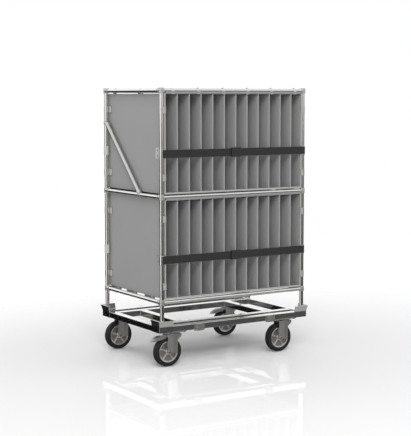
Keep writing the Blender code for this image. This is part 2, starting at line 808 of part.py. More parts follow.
def dividers_mesh(low, high):
    """The upright dividers, each with a bead along its front edge, running into the walls around them."""
    front = bead_recess - insert_half_y
    shoulder = front + divider_bead_depth
    back = insert_half_y - panel_wall / 2
    half_bead = divider_bead_width / 2
    half_wall = divider_wall / 2
    bm = bmesh.new()
    for i in range(1, slot_count):
        x = i * slot_pitch - insert_half_x
        outline = [(x - half_bead, front), (x + half_bead, front), (x + half_bead, shoulder),
                   (x + half_wall, shoulder), (x + half_wall, back), (x - half_wall, back),
                   (x - half_wall, shoulder), (x - half_bead, shoulder)]
        prism(bm, outline, "Z", low + panel_wall / 2, high - panel_wall / 2)
    return to_mesh("dividers", bm)


def build_inserts(rack, finishes):
    for tier, rail_z, _ in tiers:
        low, high = insert_span(rail_z)
        name = tier + "_insert"
        insert = combine(name, shell_mesh(name, low, high), [dividers_mesh(low, high)], "UNION")
        add_piece(name, insert, finishes["panel"], rack)


def build_straps(rack, finishes):
    """A strap from the left post's front to round the right post, with its ends overlapping in the middle."""
    seat = pipe_radius + anchor_wall + seat_gap
    near = -post_y - seat
    far = near - strap_thickness
    lap = strap_overlap / 2
    inner_turn = arc((post_x, -post_y), seat, -90, 0, 6)
    outer_turn = arc((post_x, -post_y), seat + strap_thickness, 0, -90, 6)
    outline = [(-post_x, near)] + inner_turn + outer_turn
    outline += [(lap, far), (lap, far - strap_thickness), (-lap, far - strap_thickness),
                (-lap, far), (-post_x, far)]
    for tier, rail_z, _ in tiers:
        middle = rail_z + strap_rise
        bm = bmesh.new()
        prism(bm, outline, "Z", middle - strap_height / 2, middle + strap_height / 2)
        name = tier + "_strap"
        add_piece(name, to_mesh(name, bm), finishes["strap"], rack)


def build_cart():
    clear_scene()
    finishes = make_materials()
    root = make_empty("cart_origin", None, (frame_shift, 0.0, 0.0))
    build_dolly(root, finishes)
    build_catches(root, finishes)
    build_sockets(root, finishes)
    build_casters(root, finishes)
    rack = make_empty("rack_seat", root, (0.0, 0.0, 0.0))
    build_posts(rack, finishes)
    build_rails(rack, finishes)
    build_brace(rack, finishes)
    build_inserts(rack, finishes)
    build_straps(rack, finishes)


build_cart()
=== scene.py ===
import math

import bmesh
import bpy
from mathutils import Matrix, Vector


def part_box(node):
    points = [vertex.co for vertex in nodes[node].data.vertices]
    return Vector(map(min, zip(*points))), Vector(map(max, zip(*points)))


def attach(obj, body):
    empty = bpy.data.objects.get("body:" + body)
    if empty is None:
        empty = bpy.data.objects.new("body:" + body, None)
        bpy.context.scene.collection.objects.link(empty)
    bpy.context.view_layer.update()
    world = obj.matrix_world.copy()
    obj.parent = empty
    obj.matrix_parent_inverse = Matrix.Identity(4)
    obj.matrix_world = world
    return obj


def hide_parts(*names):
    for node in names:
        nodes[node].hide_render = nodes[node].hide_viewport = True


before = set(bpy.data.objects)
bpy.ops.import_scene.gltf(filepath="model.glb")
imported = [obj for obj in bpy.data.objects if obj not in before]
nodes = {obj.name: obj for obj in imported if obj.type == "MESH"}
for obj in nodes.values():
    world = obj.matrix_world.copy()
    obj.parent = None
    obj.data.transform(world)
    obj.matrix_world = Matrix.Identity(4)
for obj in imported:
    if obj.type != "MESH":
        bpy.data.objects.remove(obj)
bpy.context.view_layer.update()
corners = {"front_left": (-1, -1), "front_right": (1, -1), "back_left": (-1, 1), "back_right": (1, 1)}
upward = Vector((0, 0, 1))
beamLow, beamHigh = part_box("front_beam")
middleX = (beamLow.x + beamHigh.x) / 2  # the cart is built about this line, a little off the origin
print("frame loaded")

# Camera, solved from the dolly's and the rack's corners

view = {"place": (-4.5592, -7.2135, 1.7833), "tilt": 84.343, "turn": -32.44, "lens": 100.33, "sensor": 36.0}
cameraData = bpy.data.cameras.new("camera")
cameraData.lens = view["lens"]
cameraData.sensor_width = view["sensor"]
cameraData.clip_end = 100.0
camera = bpy.data.objects.new("camera", cameraData)
camera.location = view["place"]
camera.rotation_euler = (math.radians(view["tilt"]), 0.0, math.radians(view["turn"]))
bpy.context.scene.collection.objects.link(camera)
bpy.context.scene.camera = camera
bpy.context.scene.view_settings.view_transform = "Standard"


# Shader maths

class Link:  # a node's output that takes part in sums
    def __init__(self, tree, socket):
        self.tree = tree
        self.socket = socket

    def math(self, operation, first, second):
        node = self.tree.nodes.new("ShaderNodeMath")
        node.operation = operation
        for slot, value in zip(node.inputs, (first, second)):
            if isinstance(value, Link):
                self.tree.links.new(value.socket, slot)
            else:
                slot.default_value = value
        return Link(self.tree, node.outputs[0])

    def __add__(self, other):
        return self.math("ADD", self, other)

    def __radd__(self, other):
        return self.math("ADD", other, self)

    def __sub__(self, other):
        return self.math("SUBTRACT", self, other)

    def __rsub__(self, other):
        return self.math("SUBTRACT", other, self)

    def __mul__(self, other):
        return self.math("MULTIPLY", self, other)

    def __rmul__(self, other):
        return self.math("MULTIPLY", other, self)


class Graph:  # the nodes of a material or of the world
    def __init__(self, tree):
        self.tree = tree

    def fill(self, sockets, values):
        # Joins links to sockets, and sets plain values on the others
        for key, value in values.items():
            if isinstance(value, Link):
                self.tree.links.new(value.socket, sockets[key])
            else:
                sockets[key].default_value = value

    def node(self, kind, settings, values, output=0):
        made = self.tree.nodes.new(kind)
        for key, value in settings.items():
            if key == "stops":
                ramp = made.color_ramp.elements
                for stop, (place, shade) in zip((ramp[0], ramp[1]), value):
                    stop.position = place
                    stop.color = (shade, shade, shade, 1.0)
            else:
                setattr(made, key, value)
        self.fill(made.inputs, values)
        return Link(self.tree, made.outputs[output]) if made.outputs else made

    def rays(self, *kinds):
        # One where a ray is of any of the kinds
        first, *others = [self.node("ShaderNodeLightPath", {}, {}, kind) for kind in kinds]
        for other in others:
            first = first.math("MAXIMUM", first, other)
        return first

    def graded(self, value, low, high, first=0.0, last=1.0):
        # A soft step from one number to another
        values = {"Value": value, "From Min": low, "From Max": high, "To Min": first, "To Max": last}
        return self.node("ShaderNodeMapRange", {"interpolation_type": "SMOOTHSTEP"}, values)


class Finish(Graph):  # a material, its shader and the place on the piece that its patterns read
    def __init__(self, name, colour, roughness, metallic=0.0, **fixed):
        self.material = bpy.data.materials.new(name)
        self.material.use_nodes = True
        super().__init__(self.material.node_tree)
        self.shader = self.tree.nodes["Principled BSDF"]
        self.colour = colour
        self.set({"Base Color": (*colour, 1.0), "Roughness": roughness, "Metallic": metallic, **fixed})
        self.point = self.node("ShaderNodeTexCoord", {}, {}, "Object")

    def set(self, values):
        self.fill(self.shader.inputs, values)

    def stretched(self, scale):
        return self.node("ShaderNodeMapping", {}, {"Vector": self.point, "Scale": scale})

    def noise(self, scale, detail=3.0, vector=None):
        values = {"Vector": vector or self.point, "Scale": scale, "Detail": detail}
        return self.node("ShaderNodeTexNoise", {}, values)

    def bands(self, direction, scale, distortion):
        values = {"Vector": self.point, "Scale": scale, "Distortion": distortion, "Detail": 1.0}
        return self.node("ShaderNodeTexWave", {"wave_type": "BANDS", "bands_direction": direction}, values, 1)

    def ramp(self, value, low, high):
        return self.node("ShaderNodeValToRGB", {"stops": (low, high)}, {"Fac": value})

    def tone(self, amount, dark, light):
        # Blends two shares of the finish's colour by an amount
        first, second = ((*(min(1.0, part * share) for part in self.colour), 1.0) for share in (dark, light))
        return self.node("ShaderNodeMix", {"data_type": "RGBA"}, {0: amount, 6: first, 7: second}, 2)

    def bump(self, height, distance, strength):
        values = {"Height": height, "Distance": distance, "Strength": strength}
        return self.node("ShaderNodeBump", {}, values)


# How fine the patterns are, how much of each is mixed in, and how deep they are
steel = {"along": 6.0, "across": 420.0, "clouds": 9.0, "haze": 14.0, "lineShare": 0.1, "dark": 0.97,
         "light": 1.02, "clear": 0.03, "dull": 0.04, "streak": 0.02, "ripple": 0.0001, "rippleStrength": 0.3}
cast = {"pebble": 520.0, "clouds": 22.0, "dark": 0.94, "light": 1.03, "spread": 0.08, "pebbleStrength": 0.1}
board = {"mottle": 5.0, "peel": 260.0, "scuffs": (30.0, 30.0, 600.0), "scuffFrom": 0.60, "scuffTo": 0.72,
         "scuffShare": 0.15, "dark": 0.95, "light": 1.04, "peelDull": 0.06, "scuffDull": 0.05,
         "depth": 0.00006, "strength": 0.35}
weave = {"ribs": 150.0, "yarns": 110.0, "fuzz": 900.0, "ribShare": 0.6, "fuzzShare": 0.3, "dark": 0.70,
         "light": 1.35, "depth": 0.0005, "strength": 0.8}
rubber = {"dust": 60.0, "skin": 700.0, "dark": 0.85, "light": 1.5, "spread": 0.2, "depth": 0.0001,
          "strength": 0.5}
cloudRamp = ((0.3, 0.0), (0.7, 1.0))


def steelFinish(name, colour, roughness, grain):
    # Plated steel: drawing lines along the grain, soft clouds in the plating and a little handling haze
    finish = Finish(name, colour, roughness, 1.0)
    scale = tuple(steel["along"] if part else steel["across"] for part in grain)
    lines = finish.noise(1.0, 4.0, finish.stretched(scale))
    clouds = finish.noise(steel["clouds"], 4.0)
    haze = finish.noise(steel["haze"], 3.0)
    mixed = lines * steel["lineShare"] + clouds * (1.0 - steel["lineShare"])
    finish.set({
        "Base Color": finish.tone(finish.ramp(mixed, *cloudRamp), steel["dark"], steel["light"]),
        "Roughness": roughness - steel["clear"] + haze * steel["dull"] + lines * steel["streak"],
        "Normal": finish.bump(clouds, steel["ripple"], steel["rippleStrength"]),
    })
    return finish.material


def castFinish(name, colour, roughness, metallic, grain=0.00012):
    # Cast or moulded metal: fine pebble in the skin and a slow change of tone
    finish = Finish(name, colour, roughness, metallic)
    pebble = finish.noise(cast["pebble"], 3.0)
    clouds = finish.noise(cast["clouds"], 4.0)
    finish.set({
        "Base Color": finish.tone(finish.ramp(clouds, *cloudRamp), cast["dark"], cast["light"]),
        "Roughness": roughness - cast["spread"] / 2 + clouds * cast["spread"],
        "Normal": finish.bump(pebble, grain, cast["pebbleStrength"]),
    })
    return finish.material


def boardFinish(name, colour, roughness):
    # Smooth calendered plastic board: faint mottling, orange peel and hairline scuffs
    finish = Finish(name, colour, roughness, 0.0, **{"Specular IOR Level": 0.35})
    mottle = finish.noise(board["mottle"], 4.0)
    peel = finish.noise(board["peel"], 2.0)
    scuffs = finish.noise(1.0, 5.0, finish.stretched(board["scuffs"]))
    scuffMask = finish.ramp(scuffs, (board["scuffFrom"], 0.0), (board["scuffTo"], 1.0))
    share = board["scuffShare"]
    finish.set({
        "Base Color": finish.tone(mottle * (1.0 - share) + scuffMask * share, board["dark"], board["light"]),
        "Roughness": roughness - 0.04 + peel * board["peelDull"] + scuffMask * board["scuffDull"],
        "Normal": finish.bump(peel, board["depth"], board["strength"]),
    })
    return finish.material


def webbingFinish(name, colour):
    # Woven webbing: cross ribs over fine lengthwise yarns
    finish = Finish(name, colour, 0.85, 0.0, **{"Sheen Weight": 0.08, "Sheen Roughness": 0.5,
                                                "Specular IOR Level": 0.25})
    ribs = finish.bands("X", weave["ribs"], 0.4)
    yarns = finish.bands("Z", weave["yarns"], 0.3)
    fuzz = finish.noise(weave["fuzz"], 2.0)
    cloth = ribs * weave["ribShare"] + yarns * (1.0 - weave["ribShare"])
    mixed = cloth * (1.0 - weave["fuzzShare"]) + fuzz * weave["fuzzShare"]
    finish.set({
        "Base Color": finish.tone(mixed, weave["dark"], weave["light"]),
        "Roughness": 0.78 + fuzz * 0.15,
        "Normal": finish.bump(cloth, weave["depth"], weave["strength"]),
    })
    return finish.material


def rubberFinish(name, colour):
    # Solid tyre: matt skin with dusting where it rolls
    finish = Finish(name, colour, 0.6, 0.0, **{"Specular IOR Level": 0.25})
    dust = finish.noise(rubber["dust"], 5.0)
    skin = finish.noise(rubber["skin"], 2.0)
    dusting = finish.ramp(dust, (0.35, 0.0), (0.75, 1.0))
    finish.set({
        "Base Color": finish.tone(dusting, rubber["dark"], rubber["light"]),
        "Roughness": 0.52 + dust * rubber["spread"],
        "Normal": finish.bump(skin, rubber["depth"], rubber["strength"]),
    })
    return finish.material


steelX = steelFinish("beamSteelX", (0.88, 0.88, 0.87), 0.13, (1, 0, 0))
steelY = steelFinish("beamSteelY", (0.88, 0.88, 0.87), 0.13, (0, 1, 0))
plateSteel = steelFinish("plateSteel", (0.62, 0.62, 0.61), 0.26, (1, 0, 0))
tubeX = steelFinish("tubeSteelX", (0.72, 0.71, 0.695), 0.21, (1, 0, 0))
tubeY = steelFinish("tubeSteelY", (0.86, 0.85, 0.83), 0.15, (0, 1, 0))
tubeZ = steelFinish("tubeSteelZ", (0.86, 0.85, 0.83), 0.15, (0, 0, 1))
braceSteel = steelFinish("braceSteel", (0.62, 0.61, 0.60), 0.24, (0, 0, 1))
catchSteel = steelFinish("catchSteel", (0.66, 0.66, 0.65), 0.18, (0, 0, 1))
forkSteel = castFinish("forkSteel", (0.60, 0.59, 0.58), 0.30, 0.92, 0.00005)
# A darker copy of the fork steel, painted shade on the legs' rear halves
forkPaintedShade = castFinish("forkPaintedShade", (0.47, 0.46, 0.45), 0.32, 0.92, 0.00005)
socketSteel = castFinish("socketSteel", (0.45, 0.445, 0.435), 0.28, 0.85, 0.00005)
jointMetal = castFinish("jointMetal", (0.62, 0.61, 0.595), 0.34, 0.9, 0.00006)
wheelMetal = castFinish("wheelMetal", (0.66, 0.65, 0.63), 0.28, 0.95)
# A dark copy of the rim's alloy, painted shade in the web's recess between the ribs
wheelWeb = castFinish("wheelWeb", (0.24, 0.235, 0.23), 0.42, 0.7)
clipPlastic = castFinish("clipPlastic", (0.29, 0.29, 0.285), 0.40, 0.0, 0.00005)
anchorGrey = castFinish("anchorGrey", (0.42, 0.42, 0.415), 0.40, 0.0, 0.00005)
tabGrey = castFinish("tabGrey", (0.46, 0.46, 0.455), 0.40, 0.0, 0.00005)
plugPlastic = castFinish("plugPlastic", (0.16, 0.16, 0.16), 0.5, 0.0, 0.00005)
screwDark = castFinish("screwDark", (0.10, 0.10, 0.10), 0.45, 0.6, 0.00003)
boardGrey = boardFinish("boardGrey", (0.285, 0.285, 0.285), 0.42)
# A lighter copy of the board grey, painted light on the dividers and on the last slot's wall
dividerPaintedLight = boardFinish("dividerPaintedLight", (0.38, 0.38, 0.38), 0.42)
trimGrey = boardFinish("trimGrey", (0.32, 0.32, 0.315), 0.40)
beadGrey = boardFinish("beadGrey", (0.305, 0.305, 0.30), 0.42)
hemGrey = boardFinish("hemGrey", (0.22, 0.22, 0.218), 0.42)
# Near-black, painted shade for the strips under the roof borders and over the mid rail
shadeStripDark = boardFinish("shadeStripDark", (0.008, 0.008, 0.008), 0.9)
webbing = webbingFinish("strapWebbing", (0.019, 0.019, 0.019))
stitching = castFinish("strapStitching", (0.075, 0.075, 0.075), 0.8, 0.0)
# Near-black, painted shadow at the strap lap's end
lapShadowBlack = castFinish("strapLapShadow", (0.004, 0.004, 0.004), 0.9, 0.0)
tyreRubber = rubberFinish("tyreRubber", (0.012, 0.012, 0.012))
print("finishes made")


# Making and placing

def put(name, bm, material, body, stands=(), smooth=38.0):
    # Finishes a piece: its mesh, the body it rides on and the CAD nodes that it stands for
    bmesh.ops.remove_doubles(bm, verts=bm.verts[:], dist=0.00001)
    bmesh.ops.recalc_face_normals(bm, faces=bm.faces[:])
    mesh = bpy.data.meshes.new(name)
    bm.to_mesh(mesh)
    bm.free()
    mesh.shade_smooth()
    mesh.set_sharp_from_angle(angle=math.radians(smooth))
    mesh.materials.append(material)
    piece = bpy.data.objects.new(name, mesh)
    bpy.context.scene.collection.objects.link(piece)
    flats = piece.modifiers.new("flats", "WEIGHTED_NORMAL")  # keeps flat faces flat beside rounded edges
    flats.weight = 100
    flats.keep_sharp = True
    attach(piece, body)
    for node in stands:
        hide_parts(node)
    return piece


hairline = 0.00002  # an inset too narrow to see, from which a pocket goes straight in


def soften(bm, edges, width, steps=2):
    bmesh.ops.bevel(bm, geom=edges, offset=width, offset_type="OFFSET", segments=steps, profile=0.5,
                    affect="EDGES", material=-1, clamp_overlap=True)


def edgesOf(verts, test=None):
    edges = {edge for vert in verts for edge in vert.link_edges}
    return [edge for edge in edges if test is None or test(edge)]


def along(edge, axis):
    first, second = (vert.co for vert in edge.verts)
    return abs((second - first).normalized()[axis]) > 0.99


def block(bm, low, high, width=0.0, steps=2, axis=None):
    # A block between two corners, with all its edges softened, or only those along one axis
    low, high = Vector(low), Vector(high)
    place = Matrix.Translation((low + high) / 2) @ Matrix.Diagonal((high - low).to_4d())
    made = bmesh.ops.create_cube(bm, size=1.0, matrix=place)["verts"]
    if width:
        test = None if axis is None else lambda edge: along(edge, axis)
        soften(bm, edgesOf(made, test), width, steps)


def rod(bm, start, end, radius, sides=32, width=0.0, tip=None):
    # A round bar between two points, with softened rims
    start, end = Vector(start), Vector(end)
    line = end - start
    turn = line.to_track_quat("Z", "Y").to_matrix().to_4x4()
    place = Matrix.Translation((start + end) / 2) @ turn
    made = bmesh.ops.create_cone(bm, cap_ends=True, segments=sides, radius1=radius, depth=line.length,
                                 radius2=radius if tip is None else tip, matrix=place)["verts"]
    if width:
        rims = edgesOf(made, lambda edge: any(len(face.verts) == sides for face in edge.link_faces))
        soften(bm, rims, width)
    return made


def hollow(bm, middle, wall, depth):
    # Opens the flat end whose centre is at a point, by an inset and a pocket
    caps = [face for face in bm.faces
            if (face.calc_center_median() - middle).length < 0.0005 and len(face.verts) > 3]
    for cap in caps[:1]:
        bmesh.ops.inset_individual(bm, faces=[cap], thickness=wall)
        bmesh.ops.inset_individual(bm, faces=[cap], thickness=hairline, depth=-depth)


def ring(bm, profile, axis, centre, steps=48):
    # Turns a closed profile of (radius, height) about an axis through a centre
    side = Vector((0, 0, 1)) if axis.z == 0 else Vector((1, 0, 0))
    verts = [bm.verts.new(Vector(centre) + side * radius + axis * height) for radius, height in profile]
    edges = [bm.edges.new((verts[i - 1], verts[i])) for i in range(len(verts))]
    bmesh.ops.spin(bm, geom=verts + edges, cent=centre, axis=axis, angle=2 * math.pi, steps=steps,
                   use_merge=True)


def bothWays(section):
    # A half section of (radius, height) and its mirror image
    return section + [(radius, -height) for radius, height in reversed(section)]


def standing(path, low, high):
    # Upright strips along a path
    return [[(a[0], a[1], low), (b[0], b[1], low), (b[0], b[1], high), (a[0], a[1], high)]
            for a, b in zip(path, path[1:])]


def sheet(bm, strips, thickness, bend=0.0, test=None):
    # A pressed sheet from flat faces: joined, its bends rounded, then thickened
    for strip in strips:
        bm.faces.new([bm.verts.new(point) for point in strip])
    bmesh.ops.remove_doubles(bm, verts=bm.verts[:], dist=0.00001)
    if bend:
        folds = [edge for edge in bm.edges if len(edge.link_faces) == 2 and (test is None or test(edge))]
        soften(bm, folds, bend, 4)
    bmesh.ops.recalc_face_normals(bm, faces=bm.faces[:])
    bmesh.ops.solidify(bm, geom=bm.faces[:], thickness=thickness)
    bmesh.ops.recalc_face_normals(bm, faces=bm.faces[:])


def crisp(piece, width):
    # A live edge softener for pressed and cast pieces
    modifier = piece.modifiers.new("edges", "BEVEL")
    modifier.width = width
    modifier.segments = 2
    modifier.limit_method = "ANGLE"
    modifier.angle_limit = math.radians(40.0)
    modifier.harden_normals = False
    piece.modifiers.move(len(piece.modifiers) - 1, 0)


def mirrored(bm, sideX, sideY, place):
    # Turns a piece made for the +X and +Y corner into another corner, and sets it in place
    move = Matrix.Translation(place) @ Matrix.Diagonal((sideX, sideY, 1.0, 1.0))
    bmesh.ops.transform(bm, matrix=move, verts=bm.verts[:])
    if sideX * sideY < 0:
        bmesh.ops.reverse_faces(bm, faces=bm.faces[:])


bolt = {"washerHeight": 0.0012, "washerEdge": 0.0003, "headEdge": 0.0005}


def hexBolt(bm, seat, outward, across, height, washer=0.0):
    # A hexagon head on a washer, from the face that it sits on
    seat, outward = Vector(seat), Vector(outward)
    top = seat
    if washer:
        top = seat + outward * bolt["washerHeight"]
        rod(bm, seat, top, washer, 24, bolt["washerEdge"])
    made = rod(bm, top, top + outward * height, across, 6)
    rims = edgesOf(made, lambda edge: abs((edge.verts[0].co - edge.verts[1].co).dot(outward)) < 0.00001)
    soften(bm, rims, bolt["headEdge"])


# Dolly

dolly = {"wall": 0.003, "cornerRadius": 0.0022, "pocket": 0.06, "railWidth": 0.050, "padThickness": 0.008,
         "padEdge": 0.0008}
wheelbase = {"swivelX": 0.455, "swivelY": 0.342, "plateLength": 0.135, "plateDepth": 0.110}


def beamBm(low, high, axis):
    # A square tube with open ends
    bm = bmesh.new()
    block(bm, low, high, dolly["cornerRadius"], 4, axis)
    for end in (low, high):
        middle = (low + high) / 2
        middle[axis] = end[axis]
        hollow(bm, middle, dolly["wall"], dolly["pocket"])
    return bm


for node, axis, material in (("front_beam", 0, steelX), ("back_beam", 0, steelX),
                             ("side_beam_left", 1, steelY), ("side_beam_right", 1, steelY),
                             ("cross_member_left", 1, steelY), ("cross_member_right", 1, steelY)):
    put(node + "_tube", beamBm(*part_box(node), axis), material, "dolly", [node])

# The inner rails, whose solids take in the caster pads on their outer sides
frameTop, frameBottom = beamHigh.z, beamLow.z
railWidth = dolly["railWidth"]
padTop = frameBottom + dolly["padThickness"]
for node, side in (("inner_rail_front", -1), ("inner_rail_back", 1)):
    low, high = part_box(node)
    if side < 0:
        inner, outer = high.y - railWidth, low.y
        bm = beamBm(Vector((low.x, inner, low.z)), high, 0)
    else:
        inner, outer = low.y + railWidth, high.y
        bm = beamBm(low, Vector((high.x, inner, high.z)), 0)
    for sideX in (-1, 1):
        x = middleX + sideX * wheelbase["swivelX"]
        half = wheelbase["plateLength"] / 2
        block(bm, (x - half, min(inner, outer), frameBottom), (x + half, max(inner, outer), padTop),
              dolly["padEdge"])
    put(node + "_tube", bm, steelX, "dolly", [node])

# Weld beads where the beams meet
seam = {"bead": 0.0026, "step": 0.004, "sink": 0.0012, "inset": 0.004, "reach": 0.046, "tuck": 0.001}


def weld(bm, start, end):
    # A stacked weld bead between two points
    start, end = Vector(start), Vector(end)
    count = max(2, round((end - start).length / seam["step"]))
    for i in range(count + 1):
        place = Matrix.Translation(start.lerp(end, i / count))
        bmesh.ops.create_icosphere(bm, subdivisions=1, radius=seam["bead"], matrix=place)


bm = bmesh.new()
inset = seam["inset"]
seamTop, seamHigh, seamLow = frameTop - seam["sink"], frameTop - inset, frameBottom + inset
sideInner = (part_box("side_beam_left")[1].x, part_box("side_beam_right")[0].x)
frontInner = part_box("front_beam")[1].y
railFront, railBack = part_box("inner_rail_front")[1].y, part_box("inner_rail_back")[0].y
for x, side in zip(sideInner, (1, -1)):
    for sideY in (-1, 1):
        y = sideY * -frontInner
        weld(bm, (x - side * seam["reach"], y, seamTop), (x - side * inset, y, seamTop))
        weld(bm, (x, y - sideY * seam["tuck"], seamLow), (x, y - sideY * seam["tuck"], seamHigh))
    for first, second in ((railFront - railWidth, railFront), (railBack, railBack + railWidth)):
        weld(bm, (x, first + inset, seamTop), (x, second - inset, seamTop))
        weld(bm, (x, first, seamLow), (x, first, seamHigh))
        weld(bm, (x, second, seamLow), (x, second, seamHigh))
for node in ("cross_member_left", "cross_member_right"):
    low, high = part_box(node)
    for y in (low.y, high.y):
        weld(bm, (low.x + inset, y, seamTop), (high.x - inset, y, seamTop))
        weld(bm, (low.x, y, seamLow), (low.x, y, seamHigh))
        weld(bm, (high.x, y, seamLow), (high.x, y, seamHigh))
put("dollyWelds", bm, catchSteel, "dolly", smooth=180.0)

# Flared corner catches
catch = {"leg": 0.100, "wall": 0.005, "upright": 0.040, "flareHeight": 0.039, "flare": 0.010, "gap": 0.0003,
         "bend": 0.003, "edge": 0.0008}
halfLength = (beamHigh.x - beamLow.x) / 2
halfDepth = -beamLow.y
for corner, (sideX, sideY) in corners.items():
    reach = catch["gap"] + catch["wall"] / 2
    outX, outY = halfLength + reach, halfDepth + reach
    endX, endY = halfLength - catch["leg"], halfDepth - catch["leg"]
    knee = frameBottom + catch["upright"]
    top = knee + catch["flareHeight"]
    lean = catch["flare"]
    strips = [
        [(endX, outY, frameBottom), (outX, outY, frameBottom), (outX, outY, knee), (endX, outY, knee)],
        [(outX, outY, frameBottom), (outX, endY, frameBottom), (outX, endY, knee), (outX, outY, knee)],
        [(endX, outY, knee), (outX, outY, knee), (outX + lean, outY + lean, top), (endX, outY + lean, top)],
        [(outX, outY, knee), (outX, endY, knee), (outX + lean, endY, top), (outX + lean, outY + lean, top)],
    ]
    bm = bmesh.new()
    sheet(bm, strips, catch["wall"], catch["bend"])
    mirrored(bm, sideX, sideY, (middleX, 0.0, 0.0))
    piece = put("cornerCatch_" + corner, bm, catchSteel, "dolly", ["corner_catch_" + corner])
    crisp(piece, catch["edge"])

# Hat-shaped pin sockets
socket = {"offset": 0.292, "width": 0.080, "flange": 0.017, "depth": 0.013, "wall": 0.003, "height": 0.047,
          "drop": 0.008, "bend": 0.0035, "edge": 0.0005}
for corner, (sideX, sideY) in corners.items():
    face = halfDepth + catch["gap"] + socket["wall"] / 2
    brow = face + socket["depth"] - socket["wall"] / 2
    half = socket["width"] / 2
    hat = half - socket["flange"]
    path = [(-half, face), (-hat, face), (-hat, brow), (hat, brow), (hat, face), (half, face)]
    low = frameBottom - socket["drop"]
    high = low + socket["height"]
    bm = bmesh.new()
    sheet(bm, standing(path, low, high), socket["wall"], socket["bend"], lambda edge: along(edge, 2))
    mirrored(bm, sideX, sideY, (middleX + sideX * socket["offset"], 0.0, 0.0))
    piece = put("pinSocket_" + corner, bm, socketSteel, "dolly", ["pin_socket_" + corner])
    crisp(piece, socket["edge"])
print("dolly made")

# Casters

caster = {"wheelRadius": 0.100, "tyreWidth": 0.048, "rimRadius": 0.072, "rimWidth": 0.040, "hubRadius": 0.021,
          "trail": 0.055, "innerWidth": 0.060, "wall": 0.005, "rear": 0.038, "skirt": 0.014, "crown": 0.213,
          "bearingRadius": 0.036, "bearingBore": 0.010, "plateLow": 0.2303, "plateThickness": 0.0065,
          "plateCorner": 0.012, "plateEdge": 0.0008, "boltX": 0.105, "boltY": 0.080, "boltAcross": 0.0072,
          "boltHead": 0.0048, "stem": 0.004, "stemEnd": 0.0012, "axleRadius": 0.0058, "nutAcross": 0.0098,
          "nutHeight": 0.0055, "washer": 0.0105, "gap": 0.0003}
fork = {"reach": 0.064, "waist": 0.176, "fold": 0.028, "tuck": 0.0022, "toe": 0.0125, "cut": 0.006,
        "lap": 0.001, "brow": 0.0022, "edge": 0.0007}
spoke = {"count": 5, "half": 0.0055, "depth": 0.0105, "flare": 1.25, "swell": 1.3, "start": 0.8, "end": 0.0075,
         "edge": 0.002, "ribs": ((-0.0165, -0.0095), (0.0095, 0.0165)), "ribHalf": 0.0018, "ribStart": 0.9,
         "ribEnd": 0.0085, "ribEdge": 0.0008}
lever = {"reach": 0.1165, "steps": 12, "crown": 0.004, "crownEnd": 0.74, "crownRate": 1.35, "fall": 0.030,
         "fallPower": 2.4, "root": 0.0205, "middle": 0.0235, "tip": 0.010, "taperFrom": 0.7, "taperPower": 1.5,
         "skirt": 0.020, "skirtFrom": 0.22, "skirtPower": 0.8, "lip": 0.002, "wall": 0.0025, "barrel": 0.0048,
         "barrelPlay": 0.0006, "pin": 0.003, "pinReach": 0.0068, "round": 0.0004, "edge": 0.0005,
         "pivot": (-0.070, 0.0, 0.207)}
wheelAxis = Vector((0, 1, 0))
squareEdge = 1.2  # radians, past which an edge counts as a corner


def plateBm():
    bm = bmesh.new()
    halfX, halfY = wheelbase["plateLength"] / 2, wheelbase["plateDepth"] / 2
    low, high = caster["plateLow"], caster["plateLow"] + caster["plateThickness"]
    block(bm, (-halfX, -halfY, low), (halfX, halfY, high), caster["plateCorner"], 5, 2)
    soften(bm, [edge for edge in bm.edges if abs(edge.calc_face_angle(0)) > squareEdge], caster["plateEdge"])
    for x in (-1, 1):
        for y in (-1, 1):
            place = Vector((x * caster["boltX"] / 2, y * caster["boltY"] / 2, low))
            hexBolt(bm, place, -upward, caster["boltAcross"], caster["boltHead"])
            rod(bm, place, (place.x, place.y, padTop + caster["stemEnd"]), caster["stem"], 16)
    return bm


def plank(bm, outline, near, far):
    # A plate with its outline in the wheel's plane, between two distances along Y
    face = bm.faces.new([bm.verts.new((x, near, z)) for x, z in outline])
    made = bmesh.ops.extrude_face_region(bm, geom=[face])["geom"]
    moved = [item for item in made if isinstance(item, bmesh.types.BMVert)]
    bmesh.ops.translate(bm, vec=(0, far - near, 0), verts=moved)


def forkBm():
    # The legs' front halves, proud of the fold and square at the axle, and the crown between them
    bm = bmesh.new()
    inner, crown, top = caster["innerWidth"] / 2, caster["crown"], caster["crown"] + caster["wall"]
    front, fold = -caster["trail"] - fork["toe"], fork["fold"] - caster["trail"] + fork["lap"]
    foot, cut = caster["wheelRadius"] - fork["toe"], fork["cut"]
    for side in (-1, 1):
        plank(bm, [(front, top), (front, foot + cut), (front + cut, foot), (fold, foot), (fold, top)],
              side * inner, side * (inner + caster["wall"]))
    brow = [edge for edge in bm.edges if edge.calc_length() > 0.01
            and all(vert.co.z > top - 0.0001 and abs(vert.co.y) > inner + 0.001 for vert in edge.verts)]
    soften(bm, brow, fork["brow"], 3)
    block(bm, (front, -inner - 0.001, crown), (caster["rear"], inner + 0.001, top - 0.0001))
    return bm


def heelBm():
    # The legs' rear halves, set back behind the fold
    bm = bmesh.new()
    inner, crown, rear = caster["innerWidth"] / 2, caster["crown"], caster["rear"]
    top, outer = crown + caster["wall"], inner + caster["wall"] - fork["tuck"]
    fold, heel = fork["fold"] - caster["trail"], fork["reach"] - caster["trail"]
    foot, cut, skirt = caster["wheelRadius"] - fork["toe"], fork["cut"], crown - caster["skirt"]
    for side in (-1, 1):
        plank(bm, [(fold, top), (fold, foot), (heel - cut, foot), (heel, foot + cut), (heel, fork["waist"]),
                   (rear - 0.002, skirt), (rear, skirt + 0.004), (rear, top)], side * inner, side * outer)
    return bm


